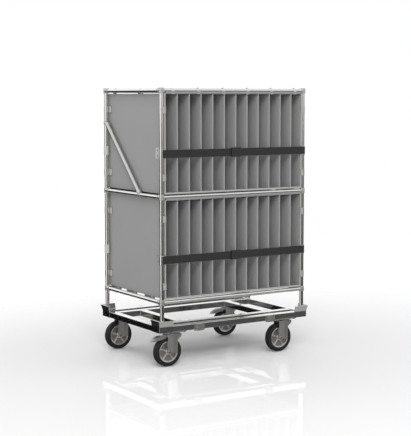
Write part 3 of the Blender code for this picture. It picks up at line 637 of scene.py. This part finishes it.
def bearingBm():
    # Two races with a groove between them
    bm = bmesh.new()
    low, radius, bore = caster["crown"] + caster["wall"], caster["bearingRadius"], caster["bearingBore"]
    lift = caster["plateLow"] - caster["gap"] - low
    section = [(bore, 0), (radius - 0.002, 0), (radius, 0.0015), (radius, lift * 0.42),
               (radius - 0.0025, lift * 0.5), (radius - 0.0005, lift * 0.58), (radius - 0.0005, lift - 0.0012),
               (radius - 0.002, lift), (bore, lift)]
    ring(bm, section, upward, (0, 0, low))
    return bm


def wheelBm():
    # A five-spoke cast rim about the wheel's axis
    bm = bmesh.new()
    rim, half, hub = caster["rimRadius"], caster["rimWidth"] / 2, caster["hubRadius"]
    ring(bm, bothWays([(rim - 0.0005, half), (rim - 0.003, half + 0.0008), (rim - 0.0065, half - 0.001),
                       (rim - 0.0075, half - 0.008), (rim - 0.0085, 0.006)]), wheelAxis, (0, 0, 0), 80)
    end = caster["innerWidth"] / 2 - 0.0005
    ring(bm, bothWays([(0.0068, -end), (hub * 0.62, -end), (hub * 0.66, -end + 0.001), (hub * 0.70, -0.016),
                       (hub, -0.0135)]), wheelAxis, (0, 0, 0), 48)
    for i in range(spoke["count"]):
        arm = bmesh.new()
        block(arm, (-spoke["half"], -spoke["depth"], hub * spoke["start"]),
              (spoke["half"], spoke["depth"], rim - spoke["end"]))
        for vert in arm.verts:
            if vert.co.z > rim / 2:
                vert.co.x *= spoke["flare"]
            else:
                vert.co.y *= spoke["swell"]
        soften(arm, arm.edges[:], spoke["edge"], 3)
        for low, high in spoke["ribs"]:
            block(arm, (-spoke["ribHalf"], low, hub * spoke["ribStart"]),
                  (spoke["ribHalf"], high, rim - spoke["ribEnd"]), spoke["ribEdge"])
        turn = Matrix.Rotation(2 * math.pi * i / spoke["count"], 3, "Y")
        bmesh.ops.rotate(arm, cent=(0, 0, 0), matrix=turn, verts=arm.verts[:])
        made = bpy.data.meshes.new("spoke")
        arm.to_mesh(made)
        arm.free()
        bm.from_mesh(made)
        bpy.data.meshes.remove(made)
    return bm


def webBm():
    # The dished web between the ribs
    bm = bmesh.new()
    hub, rim = caster["hubRadius"] * 0.8, caster["rimRadius"] - 0.008
    section = [(hub, -0.008), (hub + 0.006, -0.0085), (rim - 0.012, -0.0045), (rim, -0.0075)]
    ring(bm, bothWays(section), wheelAxis, (0, 0, 0), 80)
    return bm


def tyreBm():
    bm = bmesh.new()
    radius, half, rim = caster["wheelRadius"], caster["tyreWidth"] / 2, caster["rimRadius"] + 0.0004
    section = [(rim, -half + 0.0025), (rim + 0.002, -half + 0.0006), (rim + 0.006, -half),
               (radius - 0.012, -half), (radius - 0.0105, -half + 0.0012), (radius - 0.0085, -half + 0.0004),
               (radius - 0.005, -half + 0.0020), (radius - 0.0018, -half + 0.0055), (radius, -half + 0.011)]
    ring(bm, bothWays(section), wheelAxis, (0, 0, 0), 112)
    return bm


def axleBm():
    bm = bmesh.new()
    face = caster["innerWidth"] / 2 + caster["wall"] + caster["gap"]
    rod(bm, (0, -face, 0), (0, face, 0), caster["axleRadius"], 24)
    for side in (-1, 1):
        seat, outward = (0, side * face, 0), (0, side, 0)
        hexBolt(bm, seat, outward, caster["nutAcross"], caster["nutHeight"], caster["washer"])
    return bm


def leverStation(share):
    # How far along, how wide, how high and how deep the lever is at a share of its reach
    rise = 0.0
    if share < lever["crownEnd"]:
        rise = lever["crown"] * math.sin(math.pi * min(1.0, share * lever["crownRate"]))
    height = rise - lever["fall"] * share ** lever["fallPower"]
    width = lever["root"] + (lever["middle"] - lever["root"]) * math.sin(math.pi * share)
    taper = max(0.0, (share - lever["taperFrom"]) / (1.0 - lever["taperFrom"]))
    width -= (lever["root"] - lever["tip"]) * taper ** lever["taperPower"]
    skirt = 0.0
    if share < 1.0:
        turn = math.sin(math.pi * (lever["skirtFrom"] + (1.0 - lever["skirtFrom"]) * share))
        skirt = lever["skirt"] * turn ** lever["skirtPower"]
    return -lever["reach"] * share, width, height, lever["lip"] + skirt


def pedalBm():
    # A pressed brake lever that curves over the tyre, with deep turned-down sides, its barrel and its pin
    bm = bmesh.new()
    stations = [leverStation(i / lever["steps"]) for i in range(lever["steps"] + 1)]
    strips = []
    for near, far in zip(stations, stations[1:]):
        (nearX, nearWidth, nearTop, nearSkirt), (farX, farWidth, farTop, farSkirt) = near, far
        strips.append([(nearX, -nearWidth, nearTop), (farX, -farWidth, farTop), (farX, farWidth, farTop),
                       (nearX, nearWidth, nearTop)])
        for side in (-1, 1):
            strips.append([(nearX, side * nearWidth, nearTop), (farX, side * farWidth, farTop),
                           (farX, side * farWidth, farTop - farSkirt),
                           (nearX, side * nearWidth, nearTop - nearSkirt)])
    sheet(bm, strips, lever["wall"])
    half = caster["innerWidth"] / 2
    barrel, pin = half - lever["barrelPlay"], half + lever["pinReach"]
    rod(bm, (0, -barrel, 0), (0, barrel, 0), lever["barrel"], 24, lever["round"])
    rod(bm, (0, -pin, 0), (0, pin, 0), lever["pin"], 16, lever["round"])
    return bm


for corner, (sideX, sideY) in corners.items():
    swivel = Vector((middleX + sideX * wheelbase["swivelX"], sideY * wheelbase["swivelY"], 0))
    hubPlace = swivel + Vector((-caster["trail"], 0, caster["wheelRadius"]))
    body, wheel = "swivel_" + corner, "wheel_" + corner
    kinds = [
        ("casterPlate_", plateBm, swivel, plateSteel, "dolly", "zinc_steel", "caster_plate_", 0.0),
        ("casterFork_", forkBm, swivel, forkSteel, body, "zinc_steel", "caster_fork_", fork["edge"]),
        # The heels take the darker copy of the fork steel, painted shade behind the fold
        ("forkHeels_", heelBm, swivel, forkPaintedShade, body, "zinc_steel", None, fork["edge"]),
        ("casterBearing_", bearingBm, swivel, plateSteel, body, "zinc_steel", None, 0.0),
        ("axleBolt_", axleBm, hubPlace, plateSteel, body, "zinc_steel", "axle_bolt_", 0.0),
        ("wheelRim_", wheelBm, hubPlace, wheelMetal, wheel, "wheel_alloy", "wheel_rim_", 0.0),
        ("wheelWeb_", webBm, hubPlace, wheelWeb, wheel, "wheel_alloy", None, 0.0),
        ("wheelTyre_", tyreBm, hubPlace, tyreRubber, wheel, "tyre_rubber", "tyre_", 0.0),
    ]
    if "brake_pedal_" + corner in nodes:
        kinds.append(("brakeLever_", pedalBm, swivel + Vector(lever["pivot"]), forkSteel, "pedal_" + corner,
                      "zinc_steel", "brake_pedal_", lever["edge"]))
    for label, maker, place, material, ridesOn, slot, node, edgeWidth in kinds:
        bm = maker()
        bmesh.ops.translate(bm, vec=place, verts=bm.verts[:])
        piece = put(label + corner, bm, material, ridesOn, [node + corner] if node else [])
        if edgeWidth:
            crisp(piece, edgeWidth)
print("casters made")

# Rack: posts, joints, rails and brace

rack = {"postX": 0.572, "postY": 0.383, "tube": 0.014, "sides": 40, "levels": (0.4371, 1.1336, 1.8301),
        "foot": 0.2774, "top": 1.8491}
postEnd = {"lap": 0.0015, "plugHeight": 0.0055, "plugOver": 0.0004, "plugEdge": 0.0012, "capHeight": 0.0035,
           "capOver": 0.0002, "capEdge": 0.0014}
joint = {"radius": 0.0178, "height": 0.035, "reach": 0.038, "edge": 0.0022, "arm": 0.0172, "collar": 0.006,
         "collarEdge": 0.0012, "boss": 0.0162, "bossStart": 0.010, "bossEnd": 0.0001, "bossEdge": 0.0008,
         "longGap": 0.0003, "endGap": 0.0006, "screw": 0.0034, "screwSink": 0.0012, "screwHeight": 0.0014,
         "screwReach": 0.0275}
brace = {"radius": 0.0155, "rise": 0.4735, "foot": 0.285, "head": 0.012, "clamp": 0.0172, "clampHalf": 0.016,
         "sleeve": 0.0173, "sleeveEnd": 0.036, "headGap": 0.006, "footGap": 0.010, "edge": 0.0015}
levelNames = ("bottom", "mid", "top")
# Each tier's lower rail, and how high over it the posts' clips stand
tiers = {"lower": (rack["levels"][0], (0.108, 0.553)), "upper": (rack["levels"][1], (0.1285, 0.5685))}
strapRise = 0.281  # the sleeves' middle over each tier's lower rail


def onRack(name, bm, material, stands=()):
    put(name, bm, material, "rack", stands)


def postPlace(sideX, sideY):
    return middleX + sideX * rack["postX"], sideY * rack["postY"]


def pipe(start, end, radius, edge=0.0):
    bm = bmesh.new()
    rod(bm, start, end, radius, rack["sides"], edge)
    return bm


def jointInto(bm, x, y, z, sideX, sideY):
    # A cast fitting: a sleeve round the post, a collared arm over the end rail, a short boss for the long rail
    radius, half, sides = joint["radius"], joint["height"] / 2, rack["sides"]
    start, arm, boss = Vector((x, y, z)), Vector((0, -sideY, 0)), Vector((-sideX, 0, 0))
    end = start + arm * joint["reach"]
    rod(bm, start - upward * half, start + upward * half, radius, sides, joint["edge"])
    rod(bm, start, end, joint["arm"], sides, joint["edge"])
    rod(bm, end - arm * joint["collar"], end, radius, sides, joint["collarEdge"])
    first, second = joint["bossStart"], radius - joint["bossEnd"]
    rod(bm, start + boss * first, start + boss * second, joint["boss"], sides, joint["bossEdge"])


for corner, (sideX, sideY) in corners.items():
    x, y = postPlace(sideX, sideY)
    foot, top, tube, overlap = rack["foot"], rack["top"], rack["tube"], postEnd["lap"]
    plugTop, capLow = foot + postEnd["plugHeight"], top - postEnd["capHeight"]
    bm = pipe((x, y, plugTop - overlap), (x, y, capLow + overlap), tube)
    onRack("postTube_" + corner, bm, tubeZ, ["post_" + corner])
    bm = pipe((x, y, foot), (x, y, plugTop), tube + postEnd["plugOver"], postEnd["plugEdge"])
    onRack("postFoot_" + corner, bm, plugPlastic)
    bm = pipe((x, y, capLow), (x, y, top), tube + postEnd["capOver"], postEnd["capEdge"])
    onRack("postCap_" + corner, bm, jointMetal)
    joints, screws = bmesh.new(), bmesh.new()
    out = Vector((sideX, 0, 0))
    for z in rack["levels"]:
        jointInto(joints, x, y, z, sideX, sideY)
        for reach in (0.0, joint["screwReach"]):
            spot = Vector((x, y - sideY * reach, z)) + out * (joint["radius"] - joint["screwSink"])
            rod(screws, spot, spot + out * joint["screwHeight"], joint["screw"], 6)
    onRack("cornerJoints_" + corner, joints, jointMetal)
    onRack("jointScrews_" + corner, screws, screwDark)

reachX = rack["postX"] - joint["radius"] - joint["longGap"]
reachY = rack["postY"] - joint["radius"] - joint["endGap"]
for level, z in zip(levelNames, rack["levels"]):
    for side, turn in (("front", -1), ("back", 1)):
        node, y = level + "_rail_" + side, turn * rack["postY"]
        bm = pipe((middleX - reachX, y, z), (middleX + reachX, y, z), rack["tube"])
        onRack(node + "_tube", bm, tubeX, [node])
    for side, turn in (("left", -1), ("right", 1)):
        node, x = level + "_rail_" + side, middleX + turn * rack["postX"]
        onRack(node + "_tube", pipe((x, -reachY, z), (x, reachY, z), rack["tube"]), tubeY, [node])

# Diagonal brace on the left end, clamped to the back post and the mid rail
braceX, midZ, half = middleX - rack["postX"], rack["levels"][1], brace["clampHalf"]
low = Vector((braceX, brace["foot"] - rack["postY"], midZ))
high = Vector((braceX, rack["postY"] - brace["head"], midZ + brace["rise"]))
clamp = Vector((braceX, rack["postY"], high.z))
line = (high - low).normalized()
bm = pipe(low + line * half, high - line * half, brace["radius"])
onRack("diagonalBrace", bm, braceSteel, ["diagonal_brace"])
bm = bmesh.new()
across = Vector((0, half, 0))
for start, end, radius in (
        (clamp - upward * half, clamp + upward * half, brace["clamp"]),
        (high - line * brace["sleeveEnd"], high - line * brace["headGap"], brace["sleeve"]),
        (low - across, low + across, brace["clamp"]),
        (low + line * brace["footGap"], low + line * brace["sleeveEnd"], brace["sleeve"])):
    rod(bm, start, end, radius, rack["sides"], brace["edge"])
onRack("braceClamps", bm, jointMetal)
print("rack made")

# Inserts

insert = {"halfX": 0.552, "halfY": 0.396, "slots": 12, "wall": 0.003, "floorRise": 0.0185, "roofDrop": 0.0145,
          "pitch": 0.6965, "roofSink": 0.006, "front": 0.004, "corner": 0.004, "divider": 0.0025,
          "play": 0.0015, "shift": 0.002, "skin": 0.001, "skinGap": 0.0002, "skinFront": 0.006,
          "skinInset": 0.004}
trim = {"depth": 0.010, "side": 0.005, "reach": 0.0045, "floor": 0.012, "roof": 0.0095, "round": 0.0025,
        "sideRound": 0.0015, "sideSet": 0.0002, "sideEnd": 0.001, "bead": 0.0029, "beadSet": 0.0045,
        "beadEnd": 0.004}
hem = {"front": 0.0042, "back": 0.0018, "lap": 0.004, "drop": 0.0055, "round": 0.0008}
shadeStrip = {"height": 0.006, "depth": 0.0025, "lap": 0.002, "round": 0.0006, "back": (0.018, 0.008), "gap": 0.0002}


def frontFace(bm):
    return min(bm.faces, key=lambda face: face.calc_center_median().y)


for tier, (railZ, rises) in tiers.items():
    low = Vector((middleX - insert["halfX"], -insert["halfY"], railZ + insert["floorRise"]))
    high = Vector((middleX + insert["halfX"], insert["halfY"], railZ + insert["pitch"] - insert["roofDrop"]))
    roof = high - upward * (insert["roofSink"] if tier == "upper" else 0.0)
    bm = bmesh.new()
    block(bm, low + Vector((0, insert["front"], 0)), roof)
    front = frontFace(bm)
    soften(bm, [edge for edge in bm.edges if edge not in front.edges[:]], insert["corner"], 3)
    front = frontFace(bm)
    deep = high.y - low.y - insert["front"] - insert["wall"]
    bmesh.ops.inset_individual(bm, faces=[front], thickness=insert["wall"])
    bmesh.ops.inset_individual(bm, faces=[front], thickness=hairline, depth=-deep)
    onRack(tier + "Shell", bm, boardGrey, [tier + "_insert"])

    bm = bmesh.new()
    slotPitch, half, play = 2 * insert["halfX"] / insert["slots"], insert["divider"] / 2, insert["play"]
    dividers = [low.x + slotPitch * i + insert["shift"] for i in range(1, insert["slots"])]
    for x in dividers:
        block(bm, (x - half, low.y + insert["front"], low.z + play), (x + half, high.y - play, roof.z - play))
    # A thin sheet in the dividers' lighter grey over the shell's right inner wall, painted light in the last
    # slot
    skin, inset = high.x - insert["wall"] - insert["skinGap"], insert["skinInset"]  # the last slot's own wall
    block(bm, (skin - insert["skin"], low.y + insert["skinFront"], low.z + inset),
          (skin, high.y - inset, roof.z - inset))
    onRack(tier + "Dividers", bm, dividerPaintedLight, ())

    bm = bmesh.new()
    y, end = low.y + trim["beadSet"], trim["beadEnd"]
    for x in dividers:
        edge = x + insert["shift"]
        rod(bm, (edge, y, low.z + end), (edge, y, high.z - end), trim["bead"], 16)
    onRack(tier + "Beads", bm, beadGrey, ())

    bm = bmesh.new()
    side, back, end = trim["side"], low.y + trim["depth"], trim["sideEnd"]
    block(bm, (low.x, low.y, low.z), (high.x, back, low.z + trim["floor"]), trim["round"], 3, 0)
    for x, first, second in ((low.x, trim["reach"], side), (high.x, side, trim["reach"])):
        block(bm, (x - first, low.y + trim["sideSet"], low.z + end), (x + second, back, high.z - end),
              trim["sideRound"], 3, 2)
    onRack(tier + "Trim", bm, trimGrey, ())

    bm = bmesh.new()
    left, right, brow, rail = low.x + side, high.x - side, high.z - trim["roof"], railZ + insert["pitch"]
    block(bm, (low.x, low.y, brow), (high.x, back, high.z), trim["round"], 3, 0)
    block(bm, (left, low.y - hem["front"], high.z - hem["lap"]),
          (right, low.y - hem["back"], rail - hem["drop"]), hem["round"], 2, 0)
    onRack(tier + "Hem", bm, hemGrey, ())

    # Near-black strips, painted shade: one behind each tier's front border, hanging below it, for the roof's
    # shadow inside the slots; on the upper tier a second at the back, filling the gap over the mid rail with
    # shade
    bm = bmesh.new()
    block(bm, (left, back - shadeStrip["depth"], brow - shadeStrip["height"]), (right, back, brow + shadeStrip["lap"]),
          shadeStrip["round"], 2, 0)
    if tier == "upper":
        first, second = shadeStrip["back"]
        block(bm, (left, high.y - first, railZ + rack["tube"] + shadeStrip["gap"]),
              (right, high.y - second, low.z - shadeStrip["gap"]), shadeStrip["round"], 2, 0)
    onRack(tier + "ShadeStrips", bm, shadeStripDark, ())
print("inserts made")

# Clips that hold the inserts, and the straps' sleeves

clip = {"wall": 0.003, "bore": 0.0001, "ring": 0.0014, "ringEdge": 0.0004, "offset": 0.020, "recess": 0.001,
        "gap": 0.0003, "width": 0.024, "postHeight": 0.044, "postReach": 0.043, "lip": 0.019, "neck": 0.012,
        "neckHalf": 0.003, "rivet": 0.0026, "rivetTop": 0.0022, "rivetRise": 0.0002, "rivetEdge": 0.00008,
        "rivetSpot": 0.55, "rivetDrop": 0.0055, "longCount": 6, "longReach": 0.4925, "topSpot": -0.10,
        "floorSpots": (-0.222, 0.014, 0.250)}
fin = {"half": 0.0016, "reach": 0.006, "height": 0.0052, "sink": 0.0005, "edge": 0.0005}
pad = {"spots": ((-0.175, 0.062), (0.071, 0.068), (0.280, 0.050)), "sides": (0.001, 0.011), "rise": 0.004}
# How far the painted shadow round the back tabs reaches past them, its gap and its thickness
tabShadowRim = {"reach": 0.004, "gap": 0.0002, "wall": 0.0025}
sleeve = {"half": 0.030, "front": 0.003, "back": 0.0042, "edge": 0.001, "screwRise": 0.020, "screw": 0.0036,
          "screwHeight": 0.0014}
anchor = {"wall": 0.0025, "start": 0.012, "reach": 0.109, "half": 0.035, "lift": 0.005, "screwSpot": 0.078,
          "screwRise": 0.018, "screw": 0.0050, "screwHeight": 0.0012, "screwEdge": 0.0004}


def tabInto(bm, first, second):
    block(bm, [min(a, b) for a, b in zip(first, second)], [max(a, b) for a, b in zip(first, second)], 0.0008)


def collarInto(bm, outer, half, edge, axis, centre, steps):
    inner = rack["tube"] + clip["bore"]
    ring(bm, bothWays([(inner, -half), (outer - edge, -half), (outer, -half + edge)]), axis, centre, steps)


def clipInto(rings, bm, aside, centre, run, outward, hang, tab, width):
    # A snap ring round a tube, with a riveted tab on the tube's own face or, aside, on the insert beside it
    centre, run, outward, hang = (Vector(value) for value in (centre, run, outward, hang))
    half = width / 2
    collarInto(rings, rack["tube"] + clip["ring"], half, clip["ringEdge"], run, centre, 32)
    far = clip["offset"] - clip["gap"] if aside else rack["tube"] + clip["wall"]
    near = far - clip["wall"] if aside else rack["tube"] - clip["recess"] + clip["gap"]
    tabInto(bm, centre + outward * near - run * half, centre + outward * far + hang * tab + run * half)
    if aside:
        neck = run * half + hang * clip["neckHalf"]
        tabInto(bm, centre + outward * clip["neck"] - neck, centre + outward * far + neck)
    lift, turn = (near, -outward) if aside else (far, outward)
    for spot in (-half * clip["rivetSpot"], half * clip["rivetSpot"]):
        face = centre + run * spot + hang * (tab - clip["rivetDrop"]) + outward * lift
        rod(bm, face, face + turn * clip["rivetRise"], clip["rivet"], 16, clip["rivetEdge"], clip["rivetTop"])


topZ, bottomZ = rack["levels"][2], rack["levels"][0]
down = -upward
longTab = insert["roofDrop"] + trim["roof"]
roofTab = insert["roofDrop"] + clip["lip"]
floorTab = insert["floorRise"] + clip["lip"]
for side, turn in (("front", -1), ("back", 1)):
    bm, rings, fins = bmesh.new(), bmesh.new(), bmesh.new()
    for i in range(clip["longCount"]):
        x = middleX + clip["longReach"] * (2 * i / (clip["longCount"] - 1) - 1)
        place = Vector((x, turn * rack["postY"], topZ))
        clipInto(rings, bm, False, place, (1, 0, 0), (0, turn, 0), down, longTab, clip["width"])
        if i > 0 or side == "back":
            # The latch stands up as a thin fin, but not on the front's first clip
            foot = place + upward * (rack["tube"] - fin["sink"])
            block(fins, foot - Vector((fin["half"], fin["reach"], 0)),
                  foot + Vector((fin["half"], fin["reach"], fin["height"])), fin["edge"])
    onRack("topClips_" + side, bm, clipPlastic)
    onRack("topRings_" + side, rings, tubeX)
    onRack("topFins_" + side, fins, plugPlastic)
for side, turn in (("left", -1), ("right", 1)):
    bm, rings, pads = bmesh.new(), bmesh.new(), bmesh.new()
    x, lengthwise, inward = middleX + turn * rack["postX"], (0, 1, 0), (-turn, 0, 0)
    clipInto(rings, bm, True, (x, clip["topSpot"], topZ), lengthwise, inward, down, roofTab, clip["width"])
    for y in clip["floorSpots"]:
        clipInto(rings, bm, True, (x, y, bottomZ), lengthwise, inward, upward, floorTab, clip["width"])
    near, far = (middleX + turn * (insert["halfX"] - inset) for inset in pad["sides"])
    for y, half in pad["spots"]:
        tabInto(pads, (near, y - half, bottomZ + pad["rise"]),
                (far, y + half, bottomZ + insert["floorRise"] - clip["gap"]))
    onRack("endClips_" + side, bm, clipPlastic)
    onRack("endRings_" + side, rings, tubeY)
    onRack("endPads_" + side, pads, plugPlastic, ())
for corner, (sideX, sideY) in corners.items():
    x, y = postPlace(sideX, sideY)
    bm, rings, sleeves, dots = bmesh.new(), bmesh.new(), bmesh.new(), bmesh.new()
    plates = {tier: bmesh.new() for tier in tiers}
    rims = bmesh.new()
    out, tall = Vector((sideX, 0, 0)), clip["postHeight"]
    atFront = sideY < 0
    outer = rack["tube"] + sleeve["front" if atFront else "back"]
    for tier, (railZ, rises) in tiers.items():
        for rise in rises:
            place = (x, y, railZ + rise)
            if atFront:
                reach = clip["offset"] + trim["side"]
                clipInto(rings, bm, False, place, (0, 0, 1), (0, -1, 0), (-sideX, 0, 0), reach, tall)
            else:
                clipInto(rings, bm, True, place, (0, 0, 1), (-sideX, 0, 0), (0, -1, 0), clip["postReach"], tall)
                # Behind each back tab, a dark plate a little larger than the tab, painted shadow round its
                # edges
                face = middleX + sideX * (insert["halfX"] + tabShadowRim["gap"])
                half = tall / 2 + tabShadowRim["reach"]
                tabInto(rims, (face, y - clip["postReach"] - tabShadowRim["reach"], place[2] - half),
                        (face + sideX * tabShadowRim["wall"], y - rack["tube"], place[2] + half))
        z = railZ + strapRise
        collarInto(sleeves, outer, sleeve["half"], sleeve["edge"], upward, (x, y, z), 40)
        for rise in (-sleeve["screwRise"], sleeve["screwRise"]):
            spot = Vector((x, y, z + rise)) + out * (outer - sleeve["edge"])
            rod(dots, spot, spot + out * sleeve["screwHeight"], sleeve["screw"], 16)
        if atFront:
            # The strap's anchor plate lies on the insert's side, behind the post
            face = middleX + sideX * (insert["halfX"] + clip["gap"])
            edge, high, half = face + sideX * anchor["wall"], z + anchor["lift"], anchor["half"]
            tabInto(plates[tier], (face, y - anchor["start"], high - half),
                    (edge, y + anchor["reach"], high + half))
            for rise in (-anchor["screwRise"], anchor["screwRise"]):
                spot = Vector((edge, y + anchor["screwSpot"], high + rise))
                rod(dots, spot, spot + out * anchor["screwHeight"], anchor["screw"], 16, anchor["screwEdge"])
    onRack("postClips_" + corner, bm, clipPlastic if atFront else tabGrey)
    onRack("postRings_" + corner, rings, tubeZ)
    if atFront:
        onRack("upperAnchor_" + corner, plates["upper"], anchorGrey)
        onRack("lowerAnchor_" + corner, plates["lower"], boardGrey)
        rims.free()
    else:
        onRack("tabShadowRims_" + corner, rims, plugPlastic, ())
        for plate in plates.values():
            plate.free()
    onRack("strapSleeves_" + corner, sleeves, tubeZ if atFront else tabGrey)
    onRack("sleeveScrews_" + corner, dots, screwDark)
print("clips made")

# Straps

strap = {"height": 0.052, "thickness": 0.0025, "seat": 0.0173, "turns": 8, "lift": 0.003}
lap = {"length": 0.079, "below": 0.0045, "above": 0.0055, "sink": 0.0002, "endReach": 0.0025, "endWidth": 0.008,
       "endProud": 0.0006, "endEdge": 0.0005}
stitch = {"half": 0.0005, "length": 0.003, "proud": 0.0004, "rowRise": 0.019, "rowCount": 16, "rowStep": 0.0043,
          "inset": 0.009, "farInset": 0.004, "crossLow": 0.0175, "crossCount": 8, "crossStep": 0.0047}
for tier, (railZ, rises) in tiers.items():
    # The band runs from the left post to a quarter turn round the right one
    z = railZ + strapRise + strap["lift"]
    thick = strap["thickness"]
    seat = strap["seat"] + thick / 2
    near, low, high = -rack["postY"] - seat, z - strap["height"] / 2, z + strap["height"] / 2
    path = []
    for i in range(strap["turns"], -1, -1):
        angle = math.radians(90 * i / strap["turns"])
        outward = Vector((math.sin(angle), -math.cos(angle), 0))
        path.append(Vector((middleX + rack["postX"], -rack["postY"], 0)) + outward * seat)
    path.append(Vector((middleX - rack["postX"], near, 0)))
    bm = bmesh.new()
    sheet(bm, standing(path, low, high), thick)
    left, right = middleX - lap["length"] / 2, middleX + lap["length"] / 2
    face, lapLow, lapHigh = near - 1.5 * thick, low - lap["below"], high + lap["above"]
    seated = face + thick + lap["sink"]
    block(bm, (left, face, lapLow), (right, seated, lapHigh), 0.0008)
    onRack(tier + "StrapBand", bm, webbing, [tier + "_strap"])

    bm = bmesh.new()
    half, proud, length = stitch["half"], stitch["proud"], stitch["length"]
    for row in (z - stitch["rowRise"], z + stitch["rowRise"]):
        for i in range(stitch["rowCount"]):
            x = left + stitch["inset"] + i * stitch["rowStep"]
            block(bm, (x, face - proud, row - half), (x + length, face + proud, row + half))
    for x in (left + stitch["inset"], right - stitch["farInset"]):
        for i in range(stitch["crossCount"]):
            spot = z - stitch["crossLow"] + i * stitch["crossStep"]
            block(bm, (x - half, face - proud, spot), (x + half, face + proud, spot + length))
    onRack(tier + "StrapStitches", bm, stitching, ())

    # A near-black block at the lap's left end, painted shadow of the lap's raised edge
    bm = bmesh.new()
    end = left - lap["endReach"]
    block(bm, (end, face - lap["endProud"], lapLow), (end + lap["endWidth"], seated, lapHigh), lap["endEdge"])
    onRack(tier + "StrapLapShadow", bm, lapShadowBlack, ())
print("straps made")

# Studio

studio = {"floorSize": 60.0, "floorLow": 0.0005, "sky": 0.83, "key": 990.0, "keySize": 6.0, "fill": 30.0,
          "fillSize": 4.0, "nearWhite": 1.2, "farWhite": 4.0, "shine": 0.21, "card": 1.3, "feet": 0.50,
          "band": 0.06, "haze": 0.09, "behind": 0.10}
skySteps = {"feet": (-0.50, -0.30), "haze": (-0.18, -0.06), "sill": (-0.05, 0.055), "behind": (-0.20, 0.40)}
cardSides = {"x": -4.0, "y": (-1.6, 0.6), "z": (-1.0, 3.0)}
lampPlaces = {"key": (-5.6, -10.3, 9.6), "fill": (4.5, -4.0, 3.5), "aim": (0.0, 0.0, 0.9)}
pureWhite = (1.0, 1.0, 1.0, 1.0)
shownRays = ("Is Camera Ray", "Is Glossy Ray", "Is Transmission Ray")


def card(name, corners, finish):
    # A flat piece of the stage
    bm = bmesh.new()
    bm.faces.new([bm.verts.new(point) for point in corners])
    mesh = bpy.data.meshes.new(name)
    bm.to_mesh(mesh)
    bm.free()
    mesh.materials.append(finish.material)
    item = bpy.data.objects.new(name, mesh)
    bpy.context.scene.collection.objects.link(item)
    return item


# The floor turns into the white background away from the cart, and sooner behind it, so no horizon shows
floorFinish = Finish("studioFloor", (0.81, 0.81, 0.81), 0.6, **{"Specular IOR Level": 0.2})
spread = floorFinish.node("ShaderNodeMapping", {}, {"Vector": floorFinish.point, "Location": (0.2, 0.6, 0.0),
                                                    "Scale": (1.0, 1.25, 1.0)})
away = floorFinish.node("ShaderNodeVectorMath", {"operation": "LENGTH"}, {"Vector": spread}, 1)
fade = floorFinish.graded(away, studio["nearWhite"], studio["farWhite"])
glow = floorFinish.node("ShaderNodeEmission", {}, {"Color": pureWhite, "Strength": 1.0})
matt = Link(floorFinish.tree, floorFinish.shader.outputs[0])
blend = floorFinish.node("ShaderNodeMixShader", {}, {0: fade * floorFinish.rays(*shownRays), 1: matt, 2: glow})
shine = studio["shine"]  # the polish mirrors the cart alone
polish = floorFinish.node("ShaderNodeBsdfAnisotropic", {}, {"Color": (shine, shine, shine, 1.0),
                                                            "Roughness": 0.0})
whole = floorFinish.node("ShaderNodeAddShader", {}, {0: blend, 1: polish})
floorFinish.fill(floorFinish.tree.nodes["Material Output"].inputs, {"Surface": whole})
half = studio["floorSize"] / 2
outline = ((-half, -half), (half, -half), (half, half), (-half, half))
floor = card("studioFloor", [(x, y, -studio["floorLow"]) for x, y in outline], floorFinish)
floor.visible_glossy = False  # the steel shows the graded half of the world below instead

# A bright panel on the left that only the steel's reflections show, and the floor's mirror doesn't
brightCard = Finish("brightCard", (0.0, 0.0, 0.0), 1.0, **{"Specular IOR Level": 0.0,
                                                           "Emission Color": pureWhite})
brightCard.set({"Emission Strength": studio["card"] * (1.0 - brightCard.rays("Is Singular Ray"))})
(near, far), (low, high) = cardSides["y"], cardSides["z"]
outline = ((near, low), (far, low), (far, high), (near, high))
panel = card("brightCard", [(cardSides["x"], y, z) for y, z in outline], brightCard)
for kind in ("camera", "diffuse", "shadow", "transmission"):
    setattr(panel, "visible_" + kind, False)

# White overhead and all round, and plain sky light on the cart. Reflections see a floor that is bright at
# the feet, dim towards the horizon and dark behind the cart. The floor's mirror sees darkness, so it shows
# the cart alone.
world = bpy.data.worlds.new("studio")
bpy.context.scene.world = world
world.use_nodes = True
world.cycles.sampling_method = "NONE"  # the sky is even, and so reflections see only their own half of it
world.node_tree.nodes.clear()
sky = Graph(world.node_tree)
direction = sky.node("ShaderNodeTexCoord", {}, {}, "Generated")
height = sky.node("ShaderNodeSeparateXYZ", {}, {0: direction}, 2)
depth = sky.node("ShaderNodeSeparateXYZ", {}, {0: direction}, 1)
feet = sky.graded(height, *skySteps["feet"], studio["feet"], studio["band"])
haze = sky.graded(height, *skySteps["haze"], 0.0, studio["haze"])
behind = sky.graded(depth, *skySteps["behind"], 1.0, studio["behind"])
sill = sky.graded(height, *skySteps["sill"])
under = (feet + haze) * behind
mirrorLight = under + (1.0 - under) * sill
strength = (1.0 - sky.rays("Is Glossy Ray") * (1.0 - mirrorLight)) * (1.0 - sky.rays("Is Singular Ray"))
plain = sky.node("ShaderNodeBackground", {}, {"Color": pureWhite, "Strength": studio["sky"]})
shown = sky.node("ShaderNodeBackground", {}, {"Color": pureWhite, "Strength": strength})
pick = sky.node("ShaderNodeMixShader", {}, {0: sky.rays(*shownRays), 1: plain, 2: shown})
sky.node("ShaderNodeOutputWorld", {}, {0: pick})

for kind in ("key", "fill"):
    lampData = bpy.data.lights.new(kind + "Lamp", "AREA")
    lampData.energy = studio[kind]
    lampData.size = studio[kind + "Size"]
    lamp = bpy.data.objects.new(kind + "Lamp", lampData)
    lamp.location = lampPlaces[kind]
    lamp.visible_glossy = False
    line = Vector(lampPlaces["aim"]) - Vector(lampPlaces[kind])
    lamp.rotation_euler = line.to_track_quat("-Z", "Y").to_euler()
    bpy.context.scene.collection.objects.link(lamp)
print("studio made")
